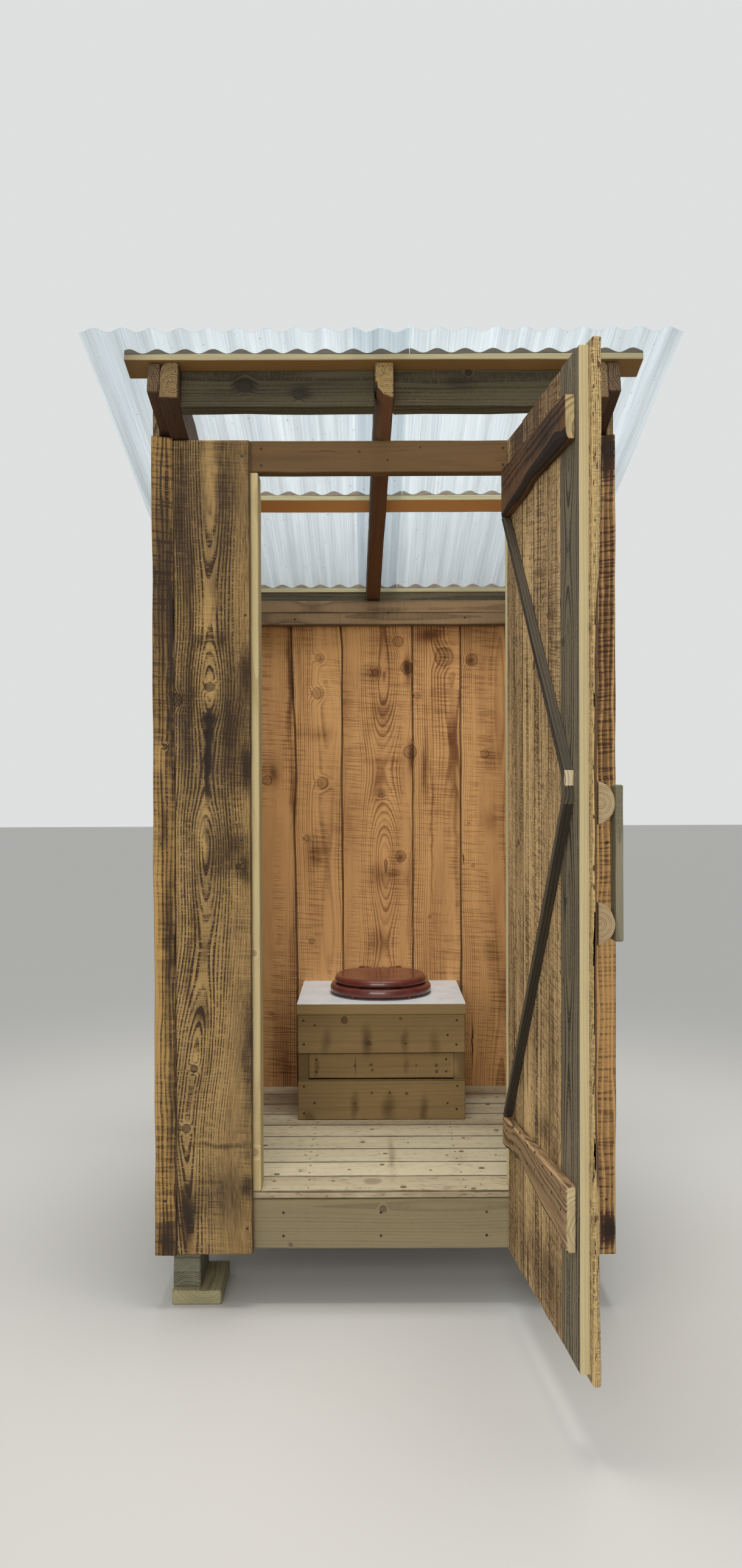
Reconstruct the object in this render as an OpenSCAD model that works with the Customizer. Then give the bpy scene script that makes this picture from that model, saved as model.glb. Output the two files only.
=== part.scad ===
// Small open-door wooden outhouse with a lean-to roof of clear corrugated sheets.
// Millimetres, +Z up, front towards -Y, origin at the bottom middle of the whole at rest.

/* [Building] */
// Width over the side boards
wall_w = 1328; // [1100:1:1600]
// Depth over the front and back boards
wall_d = 1202; // [1000:1:1500]
// Thickness of the front boards
front_t = 25; // [16:1:32]
// Thickness of the side and back boards
board_t = 22; // [16:1:32]
// Top of the front boards
front_top = 2506; // [2200:1:2600]
// Bottom of the front boards
front_bottom = 164; // [120:1:220]
// Gap between neighbouring boards
board_gap = 3; // [1:0.5:6]

/* [Feet and floor] */
// Thickness of the foot pads
pad_t = 41; // [36:1:51]
// Width of the foot pads
pad_w = 143; // [120:1:200]
// Length of the foot pads
pad_l = 220; // [160:1:300]
// Width of the stacked blocks
block_w = 79; // [70:1:120]
// Length of the stacked blocks
block_l = 185; // [120:1:260]
// Distance of the blocks behind the ends of the pads
block_in = 28; // [10:1:60]
// Distance of the pads from the front and back faces
foot_in = 42; // [20:1:120]
// Distance of the pads and blocks from the side faces
foot_side = 40; // [0:1:80]
// Underside of the floor frame
frame_z = 170; // [140:1:220]
// Height of the rim boards and joists
rim_h = 145; // [120:1:190]
// Thickness of the rim boards and joists
rim_t = 38; // [30:1:51]
// Thickness of the deck boards
deck_t = 23; // [18:1:32]
// Width of a deck board
deck_w = 127; // [90:1:145]
// Distance of the inner joists from the middle
joist_x = 230; // [190:1:300]
// Width of the hole in the floor under the bench
pit_w = 300; // [240:1:360]
// Deck boards cut away for that hole
pit_boards = 2; // [1:1:3]

/* [Frame] */
// Width of the doorway between the front boards
door_gap_w = 766; // [650:1:820]
// Height of the outer front strips over the front boards
strip_more = 14; // [0:1:30]
// Width of each outer front strip
strip_w = 61; // [50:1:100]
// Thickness of a planed stud
stud_t = 38; // [30:1:51]
// Depth of a planed stud
stud_d = 89; // [70:1:100]
// How far a jamb stud stands into the doorway as the door stop
stop_in = 22; // [15:1:35]
// Underside of the header
header_z = 2419; // [2300:1:2450]
// Height of the header
header_h = 91; // [80:1:100]
// Depth of the header and of the rear plates
plate_d = 51; // [38:1:60]
// Height of one rear plate
plate_h = 46; // [38:1:51]
// Top of the upper rear plate
rear_plate_top = 2206; // [2000:1:2210]
// Top of the back boards
back_top = 2192; // [2000:1:2190]
// Height of a side girt
girt_h = 89; // [70:1:100]
// Middle height of the side girts
girt_z = 1250; // [900:1:1500]

/* [Roof] */
// Roof slope in degrees
roof_a = 14.75; // [8:0.1:22]
// Front end of the rafters in Y
rafter_y = -796; // [-900:1:-700]
// Underside of the rafters at their front end
rafter_z = 2565; // [2500:1:2600]
// Length of the rafters
rafter_l = 1680; // [1600:1:1900]
// Width of the rafters
rafter_w = 51; // [38:1:60]
// Height of the rafters
rafter_h = 110; // [89:1:120]
// Middle of the middle rafter in X at its front end
mid_rafter_x = 1; // [-20:1:20]
// Skew of the middle rafter in degrees
mid_rafter_skew = 1.1; // [0:0.1:2]
// Width of the side rails on the end rafters
rail_w = 33; // [20:1:40]
// Height of the side rails
rail_h = 88; // [30:1:60]
// Height of the side rails above the rafter undersides
rail_v = 19; // [0:1:50]
// Height of the side board tops above the rafter undersides
side_v = 106; // [70:1:100]
// Thickness of the blocking
blocking_t = 45; // [38:1:51]
// Distance of the front blocking along the rafters
blocking_u = 40; // [20:1:80]
// Distance of the rear blocking along the rafters
rear_blocking_u = 1572; // [1500:1:1620]
// Purlin thickness
purlin_t = 19; // [16:1:38]
// Purlin width along the slope
purlin_w = 89; // [70:1:100]
// Purlin length
purlin_l = 1411; // [1300:1:1500]
// Starts of the three purlins along the rafters
purlin_u = [-9, 796, 1570];
// Corrugation pitch
wave_p = 76.2; // [60:0.1:90]
// Corrugation height
wave_h = 14; // [8:0.5:20]
// Sheet thickness
sheet_t = 1.2; // [0.8:0.1:3]
// Sheet length along the slope
sheet_l = 1829; // [1700:1:2000]
// Sheet overhang in front of the rafter ends along the slope
sheet_over = 100; // [80:1:200]
// Number of corrugations in one sheet
sheet_waves = 11.5; // [10:0.5:13]
// Corrugations in the lap of the two sheets
lap_waves = 2; // [1:0.25:3]
// Middle of the roof sheets in X
sheet_x = -7; // [-20:1:20]
// Solid web of the closure strips under the valleys
closure_web = 1.5; // [1:0.5:5]
// Play between the closure strips and the sheets
closure_play = 0.5; // [0.3:0.1:1]
// Closure strip depth along the slope
closure_d = 30; // [20:1:60]

/* [Bench] */
// Middle of the bench in X
bench_x = -4; // [-30:1:30]
// Width of the bench boards
bench_w = 584; // [500:1:700]
// Depth from the bench front boards to the back wall
bench_d = 448; // [420:1:520]
// Thickness of the bench boards
bench_t = 19; // [16:1:25]
// Heights of the lower, middle and upper bench boards
bench_h = [138, 89, 138];
// Thickness of the bench top
bench_top_t = 38; // [25:1:45]
// Overhang of the bench top in front
bench_nose = 12; // [5:1:30]
// Overhang of the bench top at each side
bench_lip = 2; // [0:1:10]
// Side of a square bench post
bench_post = 38; // [30:1:45]

/* [Toilet seat] */
// Seat ring width
seat_w = 368; // [340:1:400]
// Seat ring length
seat_l = 345; // [340:1:420]
// Front of the seat behind the edge of the bench top
seat_in = 45; // [20:1:80]
// Width of the hole in the seat ring
hole_w = 214; // [190:1:240]
// Length of the hole in the seat ring
hole_l = 225; // [200:1:280]
// Bench hole is larger than the seat hole by this much all round
hole_more = 12; // [5:1:20]
// Seat ring thickness
ring_t = 29; // [14:1:32]
// Height of the rubber feet under the ring
bumper_h = 9; // [3:1:12]
// Lid thickness
lid_t = 25; // [16:1:30]
// How much narrower the lid is than the ring on each side
lid_less = 16; // [3:1:20]
// Gap between the ring and the lid
lid_gap = 5; // [1:0.5:6]
// Distance from the seat ring's back edge to the hinge pin
hinge_back = 16; // [14:1:30]
// Radius of the seat hinge pin
seat_pin_r = 4; // [3:0.5:6]
// Radius of the lid's hinge eyes
seat_eye_r = 8; // [7:0.5:10]
// Half distance between the seat hinge blocks
seat_hinge_x = 70; // [50:1:90]
// Width of a seat hinge block
seat_block_w = 20; // [14:1:30]
// Play at the seat hinge pin and beside the eyes
pin_play = 0.1; // [0.05:0.01:0.3]
side_play = 1; // [0.5:0.1:3]

/* [Door] */
// Angle of the door in the rest pose
door_open = 96; // [0:0.5:165]
// Gap between the door boards and the front board on the hinge side
door_side_gap = 6; // [5:0.5:12]
// Gap between the door boards and the front board on the free side
door_free_gap = 25; // [6:0.5:27]
// Bottom of the door at the hinge side
door_bottom = 178; // [170:1:220]
// Top of the door at the hinge side
door_top = 2496; // [2400:1:2498]
// How much higher the free side hangs, because its braces push it up
door_rack = 15; // [0:1:20]
// Thickness of the door boards
door_t = 22; // [18:1:30]
// Gap between the closed door and the stop studs
stop_gap = 8; // [5:1:12]
// Widths of the door boards from the hinge side
door_board_w = [190, 127, 143, 120, 158];
// Gap between the door boards
door_board_gap = 2; // [1:0.5:4]
// Width of the outer lap board on the free edge
lap_w = 98; // [70:1:120]
// How far the lap board passes the free edge
lap_over = 29; // [10:1:35]
// Lap board thickness
lap_t = 22; // [16:1:30]
// Thickness of the ledges and braces
ledge_t = 24; // [18:1:38]
// Distance of the ledges from the hinge edge
ledge_start = 31; // [30:1:60]
// Distance of the ledges from the free edge
ledge_end = 31; // [30:1:60]
// Upper ledge: bottom and top at the hinge side, bottom and top at the free side
upper_ledge = [2267, 2404, 2341, 2411];
// Lower ledge: bottom and top at the hinge side, bottom and top at the free side
lower_ledge = [489, 579, 453, 609];
// Width of the braces
brace_w = 38; // [30:1:60]
// Height of the point where the braces meet
brace_z = 1520; // [1300:1:1600]
// Distance of that point from the hinge edge
brace_s = 688; // [600:1:720]
// Diameter of the log slices under the handle
disc_d = 98; // [80:1:120]
// Thickness of the log slices
disc_t = 45; // [30:1:60]
// How far the log slices stand out
disc_out = 40; // [30:1:49]
// Heights of the two log slices
disc_z = [1210, 1483];
// Grip bar width, depth and length
bar_w = 38; // [30:1:45]
bar_t = 19; // [15:1:25]
bar_l = 355; // [300:1:420]

/* [Door hinges] */
// Heights of the hinges
hinge_z = [534, 2336];
// Radius of the hinge barrel
barrel_r = 6.5; // [5:0.5:9]
// Radius of the hinge pin
pin_r = 3; // [2:0.5:4]
// Barrel length of the moving strap
strap_h = 38; // [30:1:60]
// Barrel length above and below it
knuckle_h = 22; // [15:1:40]
// Thickness of the straps
strap_t = 3; // [2:0.5:5]
// Length of the moving strap on the door
strap_l = 270; // [200:1:400]
// Width of the fixed leaf
leaf_w = 62; // [40:1:80]
// Running play between the barrels
knuckle_play = 1; // [0.5:0.1:3]

/* [Hidden] */
$fn = 48;
eps = 0.01;
half_w = wall_w / 2;
half_d = wall_d / 2;
front_y = -half_d;
post_y = front_y + front_t;
back_y = half_d - board_t;
side_x = half_w - board_t;
deck_z = frame_z + rim_h + deck_t;
deck_under = frame_z + rim_h;
door_gap_x = door_gap_w / 2;
block_h = (frame_z - pad_t) / 3;
rafter_x = side_x - rail_w - rafter_w / 2;
ca = cos(roof_a);
sa = sin(roof_a);
ta = tan(roof_a);
purlin_v = rafter_h;
sheet_v = purlin_v + purlin_t + closure_web;
sheet_w = sheet_waves * wave_p;
lap_w_x = lap_waves * wave_p;
sheet_left = sheet_x - sheet_w + lap_w_x / 2;
sheet_right = sheet_x - lap_w_x / 2;
bench_front = back_y - bench_d;
bench_z = [deck_z, deck_z + bench_h[0] + board_gap,
    deck_z + bench_h[0] + bench_h[1] + 2 * board_gap];
bench_top_z = bench_z[2] + bench_h[2];
seat_z = bench_top_z + bench_top_t;
seat_front = bench_front - bench_nose + seat_in;
seat_back = seat_front + seat_l;
seat_mid = seat_front + seat_l / 2;
ring_z = seat_z + bumper_h;
lid_z = ring_z + ring_t + lid_gap;
seat_pin_y = seat_back + hinge_back;
seat_pin_z = lid_z + lid_t / 2;
door_w = door_gap_w - door_side_gap - door_free_gap;
door_in_y = post_y - stop_gap;
door_out_y = door_in_y - door_t;
pin_x = door_gap_x - door_side_gap + 3;
pin_y = door_out_y - barrel_r;
door_boards_sum = door_board_w[0] + door_board_w[1] + door_board_w[2]
    + door_board_w[3] + door_board_w[4] + 4 * door_board_gap;
door_scale = (door_w - 4 * door_board_gap) / (door_boards_sum - 4 * door_board_gap);
hinge_s = door_gap_x - door_side_gap;
lap_x = hinge_s - door_w - lap_over;
// The farthest point of the open door in front, and of the roof behind
reach_front = pin_y + (lap_x - pin_x) * sin(door_open)
    + (door_out_y - lap_t - pin_y) * cos(door_open);
reach_back = rafter_y + (sheet_l - sheet_over) * ca + (sheet_v + wave_h + 2 * sheet_t) * sa;
origin_x = sheet_x;
origin_y = (reach_front + reach_back) / 2;

// Height of a line v above the rafter undersides at depth y
function roof_z(y, v) = rafter_z - (y - rafter_y) * ta + v / ca;
// Height of the wave above its valley
function wave(x) = wave_h / 2 * (1 - cos(360 * (x - sheet_left) / wave_p));
// Start of door board i, measured from the hinge edge
function board_s(i) = i == 0 ? 0 :
    board_s(i - 1) + door_board_w[i - 1] * door_scale + door_board_gap;

// How much higher the racked door hangs at the distance s from its hinge edge
function door_rise(s) = door_rack * s / door_w;

// A box between two corners
module box(a, b) {
    translate(a)
        cube(b - a);
}

// From the middle of the walls to the origin of the whole
module at_origin() {
    translate([-origin_x, -origin_y, 0])
        children();
}

// Both mirror images in X
module both_sides() {
    for (s = [0, 1])
        mirror([s, 0, 0])
            children();
}

// All four corners
module corners() {
    for (s = [0, 1])
        for (t = [0, 1])
            mirror([s, 0, 0])
                mirror([0, t, 0])
                    children();
}

// Into the frame of the roof: Y runs down the slope and Z stands square on it
module on_roof() {
    translate([0, rafter_y, rafter_z])
        rotate([-roof_a, 0, 0])
            children();
}

// From the closed door to its rest angle
module opened() {
    translate([pin_x, pin_y, 0])
        rotate([0, 0, door_open])
            translate([-pin_x, -pin_y, 0])
                children();
}

// Egg outline of a given width and length around the origin, blunt at the back
module egg(w, l) {
    polygon([for (i = [0:71])
        let (a = 5 * i, c = cos(a), s = sin(a))
        [w / 2 * sign(c) * pow(abs(c), s > 0 ? 0.5 : 0.92), l / 2 * s]]);
}

module pads() {
    color("#8a8478")
        at_origin()
        corners()
            box([half_w - pad_w - foot_side, -half_d + foot_in, 0],
                [half_w - foot_side, -half_d + foot_in + pad_l, pad_t]);
}

module block_layer(i) {
    corners()
        box([half_w - foot_side - block_w, -half_d + foot_in + block_in, pad_t + i * block_h],
            [half_w - foot_side, -half_d + foot_in + block_in + block_l,
                pad_t + (i + 1) * block_h]);
}

module blocks_low() {
    color("#7d7a72")
        at_origin()
        block_layer(0);
}

module blocks_mid() {
    color("#85827a")
        at_origin()
        block_layer(1);
}

module blocks_high() {
    color("#7a766c")
        at_origin()
        block_layer(2);
}

module rim_boards() {
    color("#a08b5b")
        at_origin()
        for (y = [post_y, back_y - rim_t])
            box([-side_x, y, frame_z], [side_x, y + rim_t, deck_under]);
}

module side_rims() {
    color("#a08b5b")
        at_origin()
        both_sides()
            box([side_x - rim_t, post_y + rim_t, frame_z],
                [side_x, back_y - rim_t, deck_under]);
}

module joists() {
    color("#a08b5b")
        at_origin()
        both_sides()
            box([joist_x - rim_t / 2, post_y + rim_t, frame_z],
                [joist_x + rim_t / 2, back_y - rim_t, deck_under]);
}

module deck_boards() {
    pitch = deck_w + board_gap;
    count = ceil((back_y - post_y) / pitch);
    pit_first = round((seat_mid - post_y) / pitch - pit_boards / 2);
    color("#a89565")
        at_origin()
        difference() {
            for (i = [0:count - 1])
                box([-side_x, post_y + i * pitch, deck_under],
                    [side_x, min(post_y + i * pitch + deck_w, back_y), deck_z]);
            box([bench_x - pit_w / 2, post_y + pit_first * pitch - board_gap / 2, deck_under - 1],
                [bench_x + pit_w / 2, post_y + (pit_first + pit_boards) * pitch - board_gap / 2,
                    deck_z + 1]);
        }
}

module front_studs() {
    color("#c9b068")
        at_origin() {
        both_sides()
            box([door_gap_x - stop_in, post_y, deck_z],
                [door_gap_x - stop_in + stud_t, post_y + stud_d, header_z]);
        both_sides()
            box([side_x - stud_t, post_y, deck_z],
                [side_x, post_y + stud_d, header_z]);
    }
}

module rear_studs() {
    color("#b59c66")
        at_origin()
        both_sides()
            box([side_x - stud_t, back_y - stud_d, deck_z],
                [side_x, back_y, rear_plate_top - 2 * plate_h]);
}

module header() {
    color("#8f7a55")
        at_origin()
        box([-side_x, post_y, header_z], [side_x, post_y + plate_d, header_z + header_h]);
}

module rear_plate_low() {
    color("#94805a")
        at_origin()
        box([-side_x, back_y - plate_d, rear_plate_top - 2 * plate_h],
            [side_x, back_y, rear_plate_top - plate_h]);
}

module rear_plate_high() {
    color("#9a855c")
        at_origin()
        box([-side_x, back_y - plate_d, rear_plate_top - plate_h],
            [side_x, back_y, rear_plate_top]);
}

module side_girts() {
    color("#a48d60")
        at_origin()
        both_sides()
            box([side_x - stud_t, post_y + stud_d, girt_z - girt_h / 2],
                [side_x, back_y - stud_d, girt_z + girt_h / 2]);
}

module front_boards() {
    color("#6d5236")
        at_origin()
        both_sides()
            box([door_gap_x, front_y, front_bottom],
                [half_w - strip_w, post_y, front_top]);
}

module front_strips() {
    color("#5f4630")
        at_origin()
        both_sides()
            difference() {
                box([half_w - strip_w, front_y, front_bottom - 3],
                    [half_w, post_y, front_top + strip_more]);
                on_roof()
                    translate([rafter_x - rafter_w / 2 - 1, 0, -1])
                        cube([rafter_w + 2, rafter_l, rafter_h]);
            }
}

// One side wall on the +X side, its boards cut to the slope of the roof
module side_wall() {
    n = 8;
    pitch = (back_y - post_y + board_gap) / n;
    for (i = [0:n - 1]) {
        y0 = post_y + i * pitch;
        y1 = y0 + pitch - board_gap;
        translate([side_x, 0, 0])
            rotate([90, 0, 90])
                linear_extrude(board_t)
                    polygon([[y0, front_bottom], [y1, front_bottom],
                        [y1, roof_z(y1, side_v)], [y0, roof_z(y0, side_v)]]);
    }
}

module left_boards() {
    color("#6b5138")
        at_origin()
        mirror([1, 0, 0])
            side_wall();
}

module right_boards() {
    color("#6b5138")
        at_origin()
        side_wall();
}

module back_boards() {
    cuts = [-half_w, -514, -330, -148, 126, 311, 496, half_w + board_gap];
    color("#a9753f")
        at_origin()
        for (i = [0:6])
            box([cuts[i], back_y, front_bottom], [cuts[i + 1] - board_gap, half_d, back_top]);
}

module mid_rafter_solid(more) {
    on_roof()
        translate([mid_rafter_x, 0, 0])
            rotate([0, 0, mid_rafter_skew])
                translate([-rafter_w / 2, -more, -more])
                    cube([rafter_w, rafter_l + 2 * more, rafter_h + 2 * more]);
}

module rafters() {
    color("#6f6250")
        at_origin()
        difference() {
            union() {
                both_sides()
                    on_roof()
                        translate([rafter_x - rafter_w / 2, 0, 0])
                            cube([rafter_w, rafter_l, rafter_h]);
                mid_rafter_solid(0);
            }
            box([-half_w, post_y, header_z], [half_w, post_y + plate_d, header_z + header_h]);
            box([-half_w, back_y - plate_d, rear_plate_top - 2 * plate_h],
                [half_w, back_y, rear_plate_top]);
        }
}

module side_rails() {
    color("#8a7652")
        at_origin()
        both_sides()
            on_roof()
                translate([rafter_x + rafter_w / 2, 0, rail_v])
                    cube([rail_w, rafter_l, rail_h]);
}

module blocking(u) {
    difference() {
        on_roof()
            translate([-rafter_x + rafter_w / 2, u, 0])
                cube([2 * rafter_x - rafter_w, blocking_t, rafter_h]);
        mid_rafter_solid(10);
    }
}

module blocking_front() {
    color("#544a3d")
        at_origin()
        blocking(blocking_u);
}

module blocking_rear() {
    color("#544a3d")
        at_origin()
        blocking(rear_blocking_u);
}

module purlins() {
    color("#a3977c")
        at_origin()
        on_roof()
            for (u = purlin_u)
                translate([-purlin_l / 2, u, purlin_v])
                    cube([purlin_l, purlin_w, purlin_t]);
}

// Filler between a purlin and the waves from x0 to x1, lift above the valley line
module closure(x0, x1, lift) {
    n = ceil((x1 - x0) / (wave_p / 12));
    translate([0, 0, purlin_v + purlin_t])
        rotate([90, 0, 0])
            mirror([0, 0, 1])
                linear_extrude(closure_d)
                    polygon(concat([[x1, 0], [x0, 0]],
                        [for (i = [0:n])
                            let (x = x0 + (x1 - x0) * i / n)
                            [x, closure_web - closure_play + lift + wave(x)]]));
}

module closure_strips() {
    color("#c9c3ae")
        at_origin()
        on_roof()
            for (u = purlin_u)
                translate([0, u, 0]) {
                    closure(-purlin_l / 2, sheet_left + sheet_w, 0);
                    closure(sheet_left + sheet_w + 2, purlin_l / 2, sheet_t);
                }
}

module sheet(x0, lift) {
    n = sheet_waves * 12;
    on_roof()
        translate([0, -sheet_over, sheet_v + lift])
            rotate([90, 0, 0])
                mirror([0, 0, 1])
                    linear_extrude(sheet_l)
                        polygon(concat(
                            [for (i = [0:n]) [x0 + i * wave_p / 12,
                                wave(x0 + i * wave_p / 12)]],
                            [for (i = [n:-1:0]) [x0 + i * wave_p / 12,
                                wave(x0 + i * wave_p / 12) + sheet_t]]));
}

module sheet_left_side() {
    color("#dfe9ee")
        at_origin()
        sheet(sheet_left, 0);
}

module sheet_right_side() {
    color("#dfe9ee")
        at_origin()
        sheet(sheet_right, sheet_t);
}

module bench_posts() {
    color("#c0b184")
        at_origin()
        for (x = [bench_x - bench_w / 2, bench_x + bench_w / 2 - bench_post])
            for (y = [bench_front + bench_t, back_y - bench_post])
                box([x, y, deck_z], [x + bench_post, y + bench_post, bench_top_z]);
}

module bench_front_boards() {
    color("#9c8b5e")
        at_origin()
        for (i = [0:2]) {
            inset = i == 1 ? bench_post : 0;
            y = i == 1 ? bench_front + bench_t : bench_front;
            box([bench_x - bench_w / 2 + inset, y, bench_z[i]],
                [bench_x + bench_w / 2 - inset, y + bench_t, bench_z[i] + bench_h[i]]);
        }
}

module bench_side_boards() {
    color("#94835a")
        at_origin()
        for (x = [bench_x - bench_w / 2, bench_x + bench_w / 2 - bench_t])
            for (i = [0:2])
                box([x, bench_front + bench_t + bench_post, bench_z[i]],
                    [x + bench_t, back_y - bench_post, bench_z[i] + bench_h[i]]);
}

module bench_top() {
    color("#e6e4dc")
        at_origin()
        difference() {
            box([bench_x - bench_w / 2 - bench_lip, bench_front - bench_nose, bench_top_z],
                [bench_x + bench_w / 2 + bench_lip, back_y, seat_z]);
            translate([bench_x, seat_mid - 6, bench_top_z - 1])
                linear_extrude(bench_top_t + 2)
                    egg(hole_w + 2 * hole_more, hole_l + 2 * hole_more);
        }
}

module seat_ring() {
    color("#5c2a1c")
        at_origin()
        translate([bench_x, seat_mid, 0]) {
            difference() {
                union() {
                    translate([0, 0, ring_z])
                        linear_extrude(ring_t - 5)
                            egg(seat_w, seat_l);
                    translate([0, 0, ring_z])
                        linear_extrude(ring_t)
                            egg(seat_w - 10, seat_l - 10);
                }
                translate([0, -6, ring_z - 1])
                    linear_extrude(ring_t + 2)
                        egg(hole_w, hole_l);
            }
            for (x = [-1, 1])
                for (p = [[0.27, -0.38], [0.33, 0.3]])
                    translate([x * p[0] * seat_w, p[1] * seat_l, seat_z])
                        cylinder(r = 8, h = bumper_h);
        }
}

module seat_hinge() {
    eye_w = 22;
    color("#4a2318")
        at_origin()
        translate([bench_x, seat_pin_y, 0]) {
            for (s = [-1, 1]) {
                translate([s * seat_hinge_x - seat_block_w / 2, -9, seat_z])
                    cube([seat_block_w, 18, seat_pin_z + 9 - seat_z]);
                translate([s * (seat_hinge_x - seat_block_w / 2 - side_play - eye_w / 2), 0, seat_pin_z])
                    rotate([0, 90, 0])
                        cylinder(r = seat_pin_r, h = eye_w + 2 * side_play + 8, center = true);
            }
        }
}

module seat_lid() {
    eye_w = 22;
    color("#5c2a1c")
        at_origin()
        difference() {
            union() {
                translate([bench_x, seat_mid, lid_z])
                    linear_extrude(lid_t - 5)
                        egg(seat_w - 2 * lid_less, seat_l - 2 * lid_less);
                translate([bench_x, seat_mid, lid_z])
                    linear_extrude(lid_t)
                        egg(seat_w - 2 * lid_less - 12, seat_l - 2 * lid_less - 12);
                for (s = [-1, 1])
                    translate([bench_x + s * (seat_hinge_x - seat_block_w / 2 - side_play - eye_w / 2),
                        seat_pin_y, seat_pin_z])
                        rotate([0, 90, 0])
                            cylinder(r = seat_eye_r, h = eye_w, center = true);
                for (s = [-1, 1])
                    translate([bench_x + s * (seat_hinge_x - seat_block_w / 2 - side_play - eye_w / 2)
                        - eye_w / 2, seat_back - 60, lid_z + 1])
                        cube([eye_w, 60 + hinge_back, lid_t - 6]);
            }
            for (s = [-1, 1])
                translate([bench_x + s * (seat_hinge_x - seat_block_w / 2 - side_play - eye_w / 2),
                    seat_pin_y, seat_pin_z])
                    rotate([0, 90, 0])
                        cylinder(r = seat_pin_r + pin_play, h = eye_w + 2, center = true);
        }
}

// The closed door's boards run from the hinge edge towards -X
module door_boards() {
    color("#9a7a44")
        at_origin()
        opened()
            for (i = [0:4]) {
                rise = door_rise(board_s(i) + door_board_w[i] * door_scale / 2);
                box([hinge_s - board_s(i) - door_board_w[i] * door_scale, door_out_y,
                        door_bottom + rise],
                    [hinge_s - board_s(i), door_in_y, door_top + rise]);
            }
}

module door_lap_board() {
    color("#8b7350")
        at_origin()
        opened()
            box([lap_x, door_out_y - lap_t, door_bottom - 2],
                [lap_x + lap_w, door_out_y, door_top + door_rack + 9]);
}

module door_ledges() {
    xa = hinge_s - door_w + ledge_end;
    xb = hinge_s - ledge_start;
    color("#7d6238")
        at_origin()
        opened()
            for (z = [upper_ledge, lower_ledge])
                translate([0, door_in_y, 0])
                    rotate([90, 0, 0])
                        mirror([0, 0, 1])
                            linear_extrude(ledge_t)
                                polygon([[xa, z[2]], [xb, z[0]], [xb, z[1]], [xa, z[3]]]);
}

// One brace as a bar from the hinge side at height z0 to the brace point at height z1
module brace(z0, z1) {
    xh = hinge_s - ledge_start - 4;
    xf = hinge_s - brace_s;
    translate([0, door_in_y, 0])
        rotate([90, 0, 0])
            mirror([0, 0, 1])
                linear_extrude(ledge_t)
                    polygon([[xh, z0], [xf, z1], [xf, z1 + sign(z0 - z1) * brace_w],
                        [xh - brace_w * 0.5, z0]]);
}

module door_braces() {
    color("#3f3c38")
        at_origin()
        opened() {
            brace(upper_ledge[0], brace_z + 1);
            brace(lower_ledge[1] + 1, brace_z - 1);
        }
}

module handle_slices() {
    y = door_out_y - lap_t;
    color("#c7a46a")
        at_origin()
        opened()
            intersection() {
                for (z = disc_z)
                    translate([lap_x + lap_w / 2 + 4, y, z])
                        rotate([0, 90, 0])
                            cylinder(r = disc_d / 2, h = disc_t, center = true);
                box([lap_x - disc_d, y - disc_out, 0], [lap_x + lap_w + disc_d, y, front_top]);
            }
}

module handle_bar() {
    y = door_out_y - lap_t - disc_out;
    x = lap_x + lap_w / 2 + 4;
    z = (disc_z[0] + disc_z[1]) / 2;
    color("#7d7058")
        at_origin()
        opened()
            box([x - bar_w / 2, y - bar_t, z - bar_l / 2], [x + bar_w / 2, y, z + bar_l / 2]);
}

module hinge_leaves() {
    color("#3a3632")
        at_origin()
        for (z = hinge_z) {
            translate([pin_x, pin_y, 0]) {
                for (k = [-1, 1])
                    difference() {
                        union() {
                            translate([0, 0, z + k * (strap_h + knuckle_h + 2 * knuckle_play) / 2
                                - knuckle_h / 2])
                                cylinder(r = barrel_r, h = knuckle_h);
                            translate([0, barrel_r - 3, z + k * (strap_h + knuckle_h
                                + 2 * knuckle_play) / 2 - knuckle_h / 2])
                                cube([16, front_y - pin_y - barrel_r + 3, knuckle_h]);
                        }
                        translate([0, 0, z])
                            cylinder(r = pin_r, h = 3 * strap_h + 2 * knuckle_h, center = true);
                    }
                translate([0, 0, z - strap_h / 2 - knuckle_h - knuckle_play - 3])
                    cylinder(r = pin_r, h = strap_h + 2 * knuckle_h + 2 * knuckle_play + 6);
            }
            box([pin_x + 10, front_y - strap_t, z - strap_h / 2 - knuckle_h - knuckle_play],
                [pin_x + 10 + leaf_w, front_y, z + strap_h / 2 + knuckle_h + knuckle_play]);
        }
}

module hinge_straps() {
    color("#3a3632")
        at_origin()
        opened()
            for (z = hinge_z)
                difference() {
                    union() {
                        translate([pin_x, pin_y, z - strap_h / 2])
                            cylinder(r = barrel_r, h = strap_h);
                        box([pin_x - strap_l, door_out_y - strap_t, z - strap_h / 2],
                            [pin_x - 2, door_out_y, z + strap_h / 2]);
                    }
                    translate([pin_x, pin_y, z])
                        cylinder(r = pin_r + pin_play, h = 2 * strap_h, center = true);
                }
}

pads();
blocks_low();
blocks_mid();
blocks_high();
rim_boards();
side_rims();
joists();
deck_boards();
front_studs();
rear_studs();
header();
rear_plate_low();
rear_plate_high();
side_girts();
front_boards();
front_strips();
left_boards();
right_boards();
back_boards();
rafters();
side_rails();
blocking_front();
blocking_rear();
purlins();
closure_strips();
sheet_left_side();
sheet_right_side();
bench_posts();
bench_front_boards();
bench_side_boards();
bench_top();
seat_ring();
seat_hinge();
seat_lid();
door_boards();
door_lap_board();
door_ledges();
door_braces();
handle_slices();
handle_bar();
hinge_leaves();
hinge_straps();
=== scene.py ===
# %% [markdown]
# # A small wooden outhouse, dressed around its CAD frame
# The CAD part is a true model: each board is a closed solid at its real size. This script keeps
# every board where the CAD says and gives it what a drawing leaves out: eased and torn edges, bark,
# grain, saw marks, nails and the soft shine of the seat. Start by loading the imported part.

import math

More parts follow.
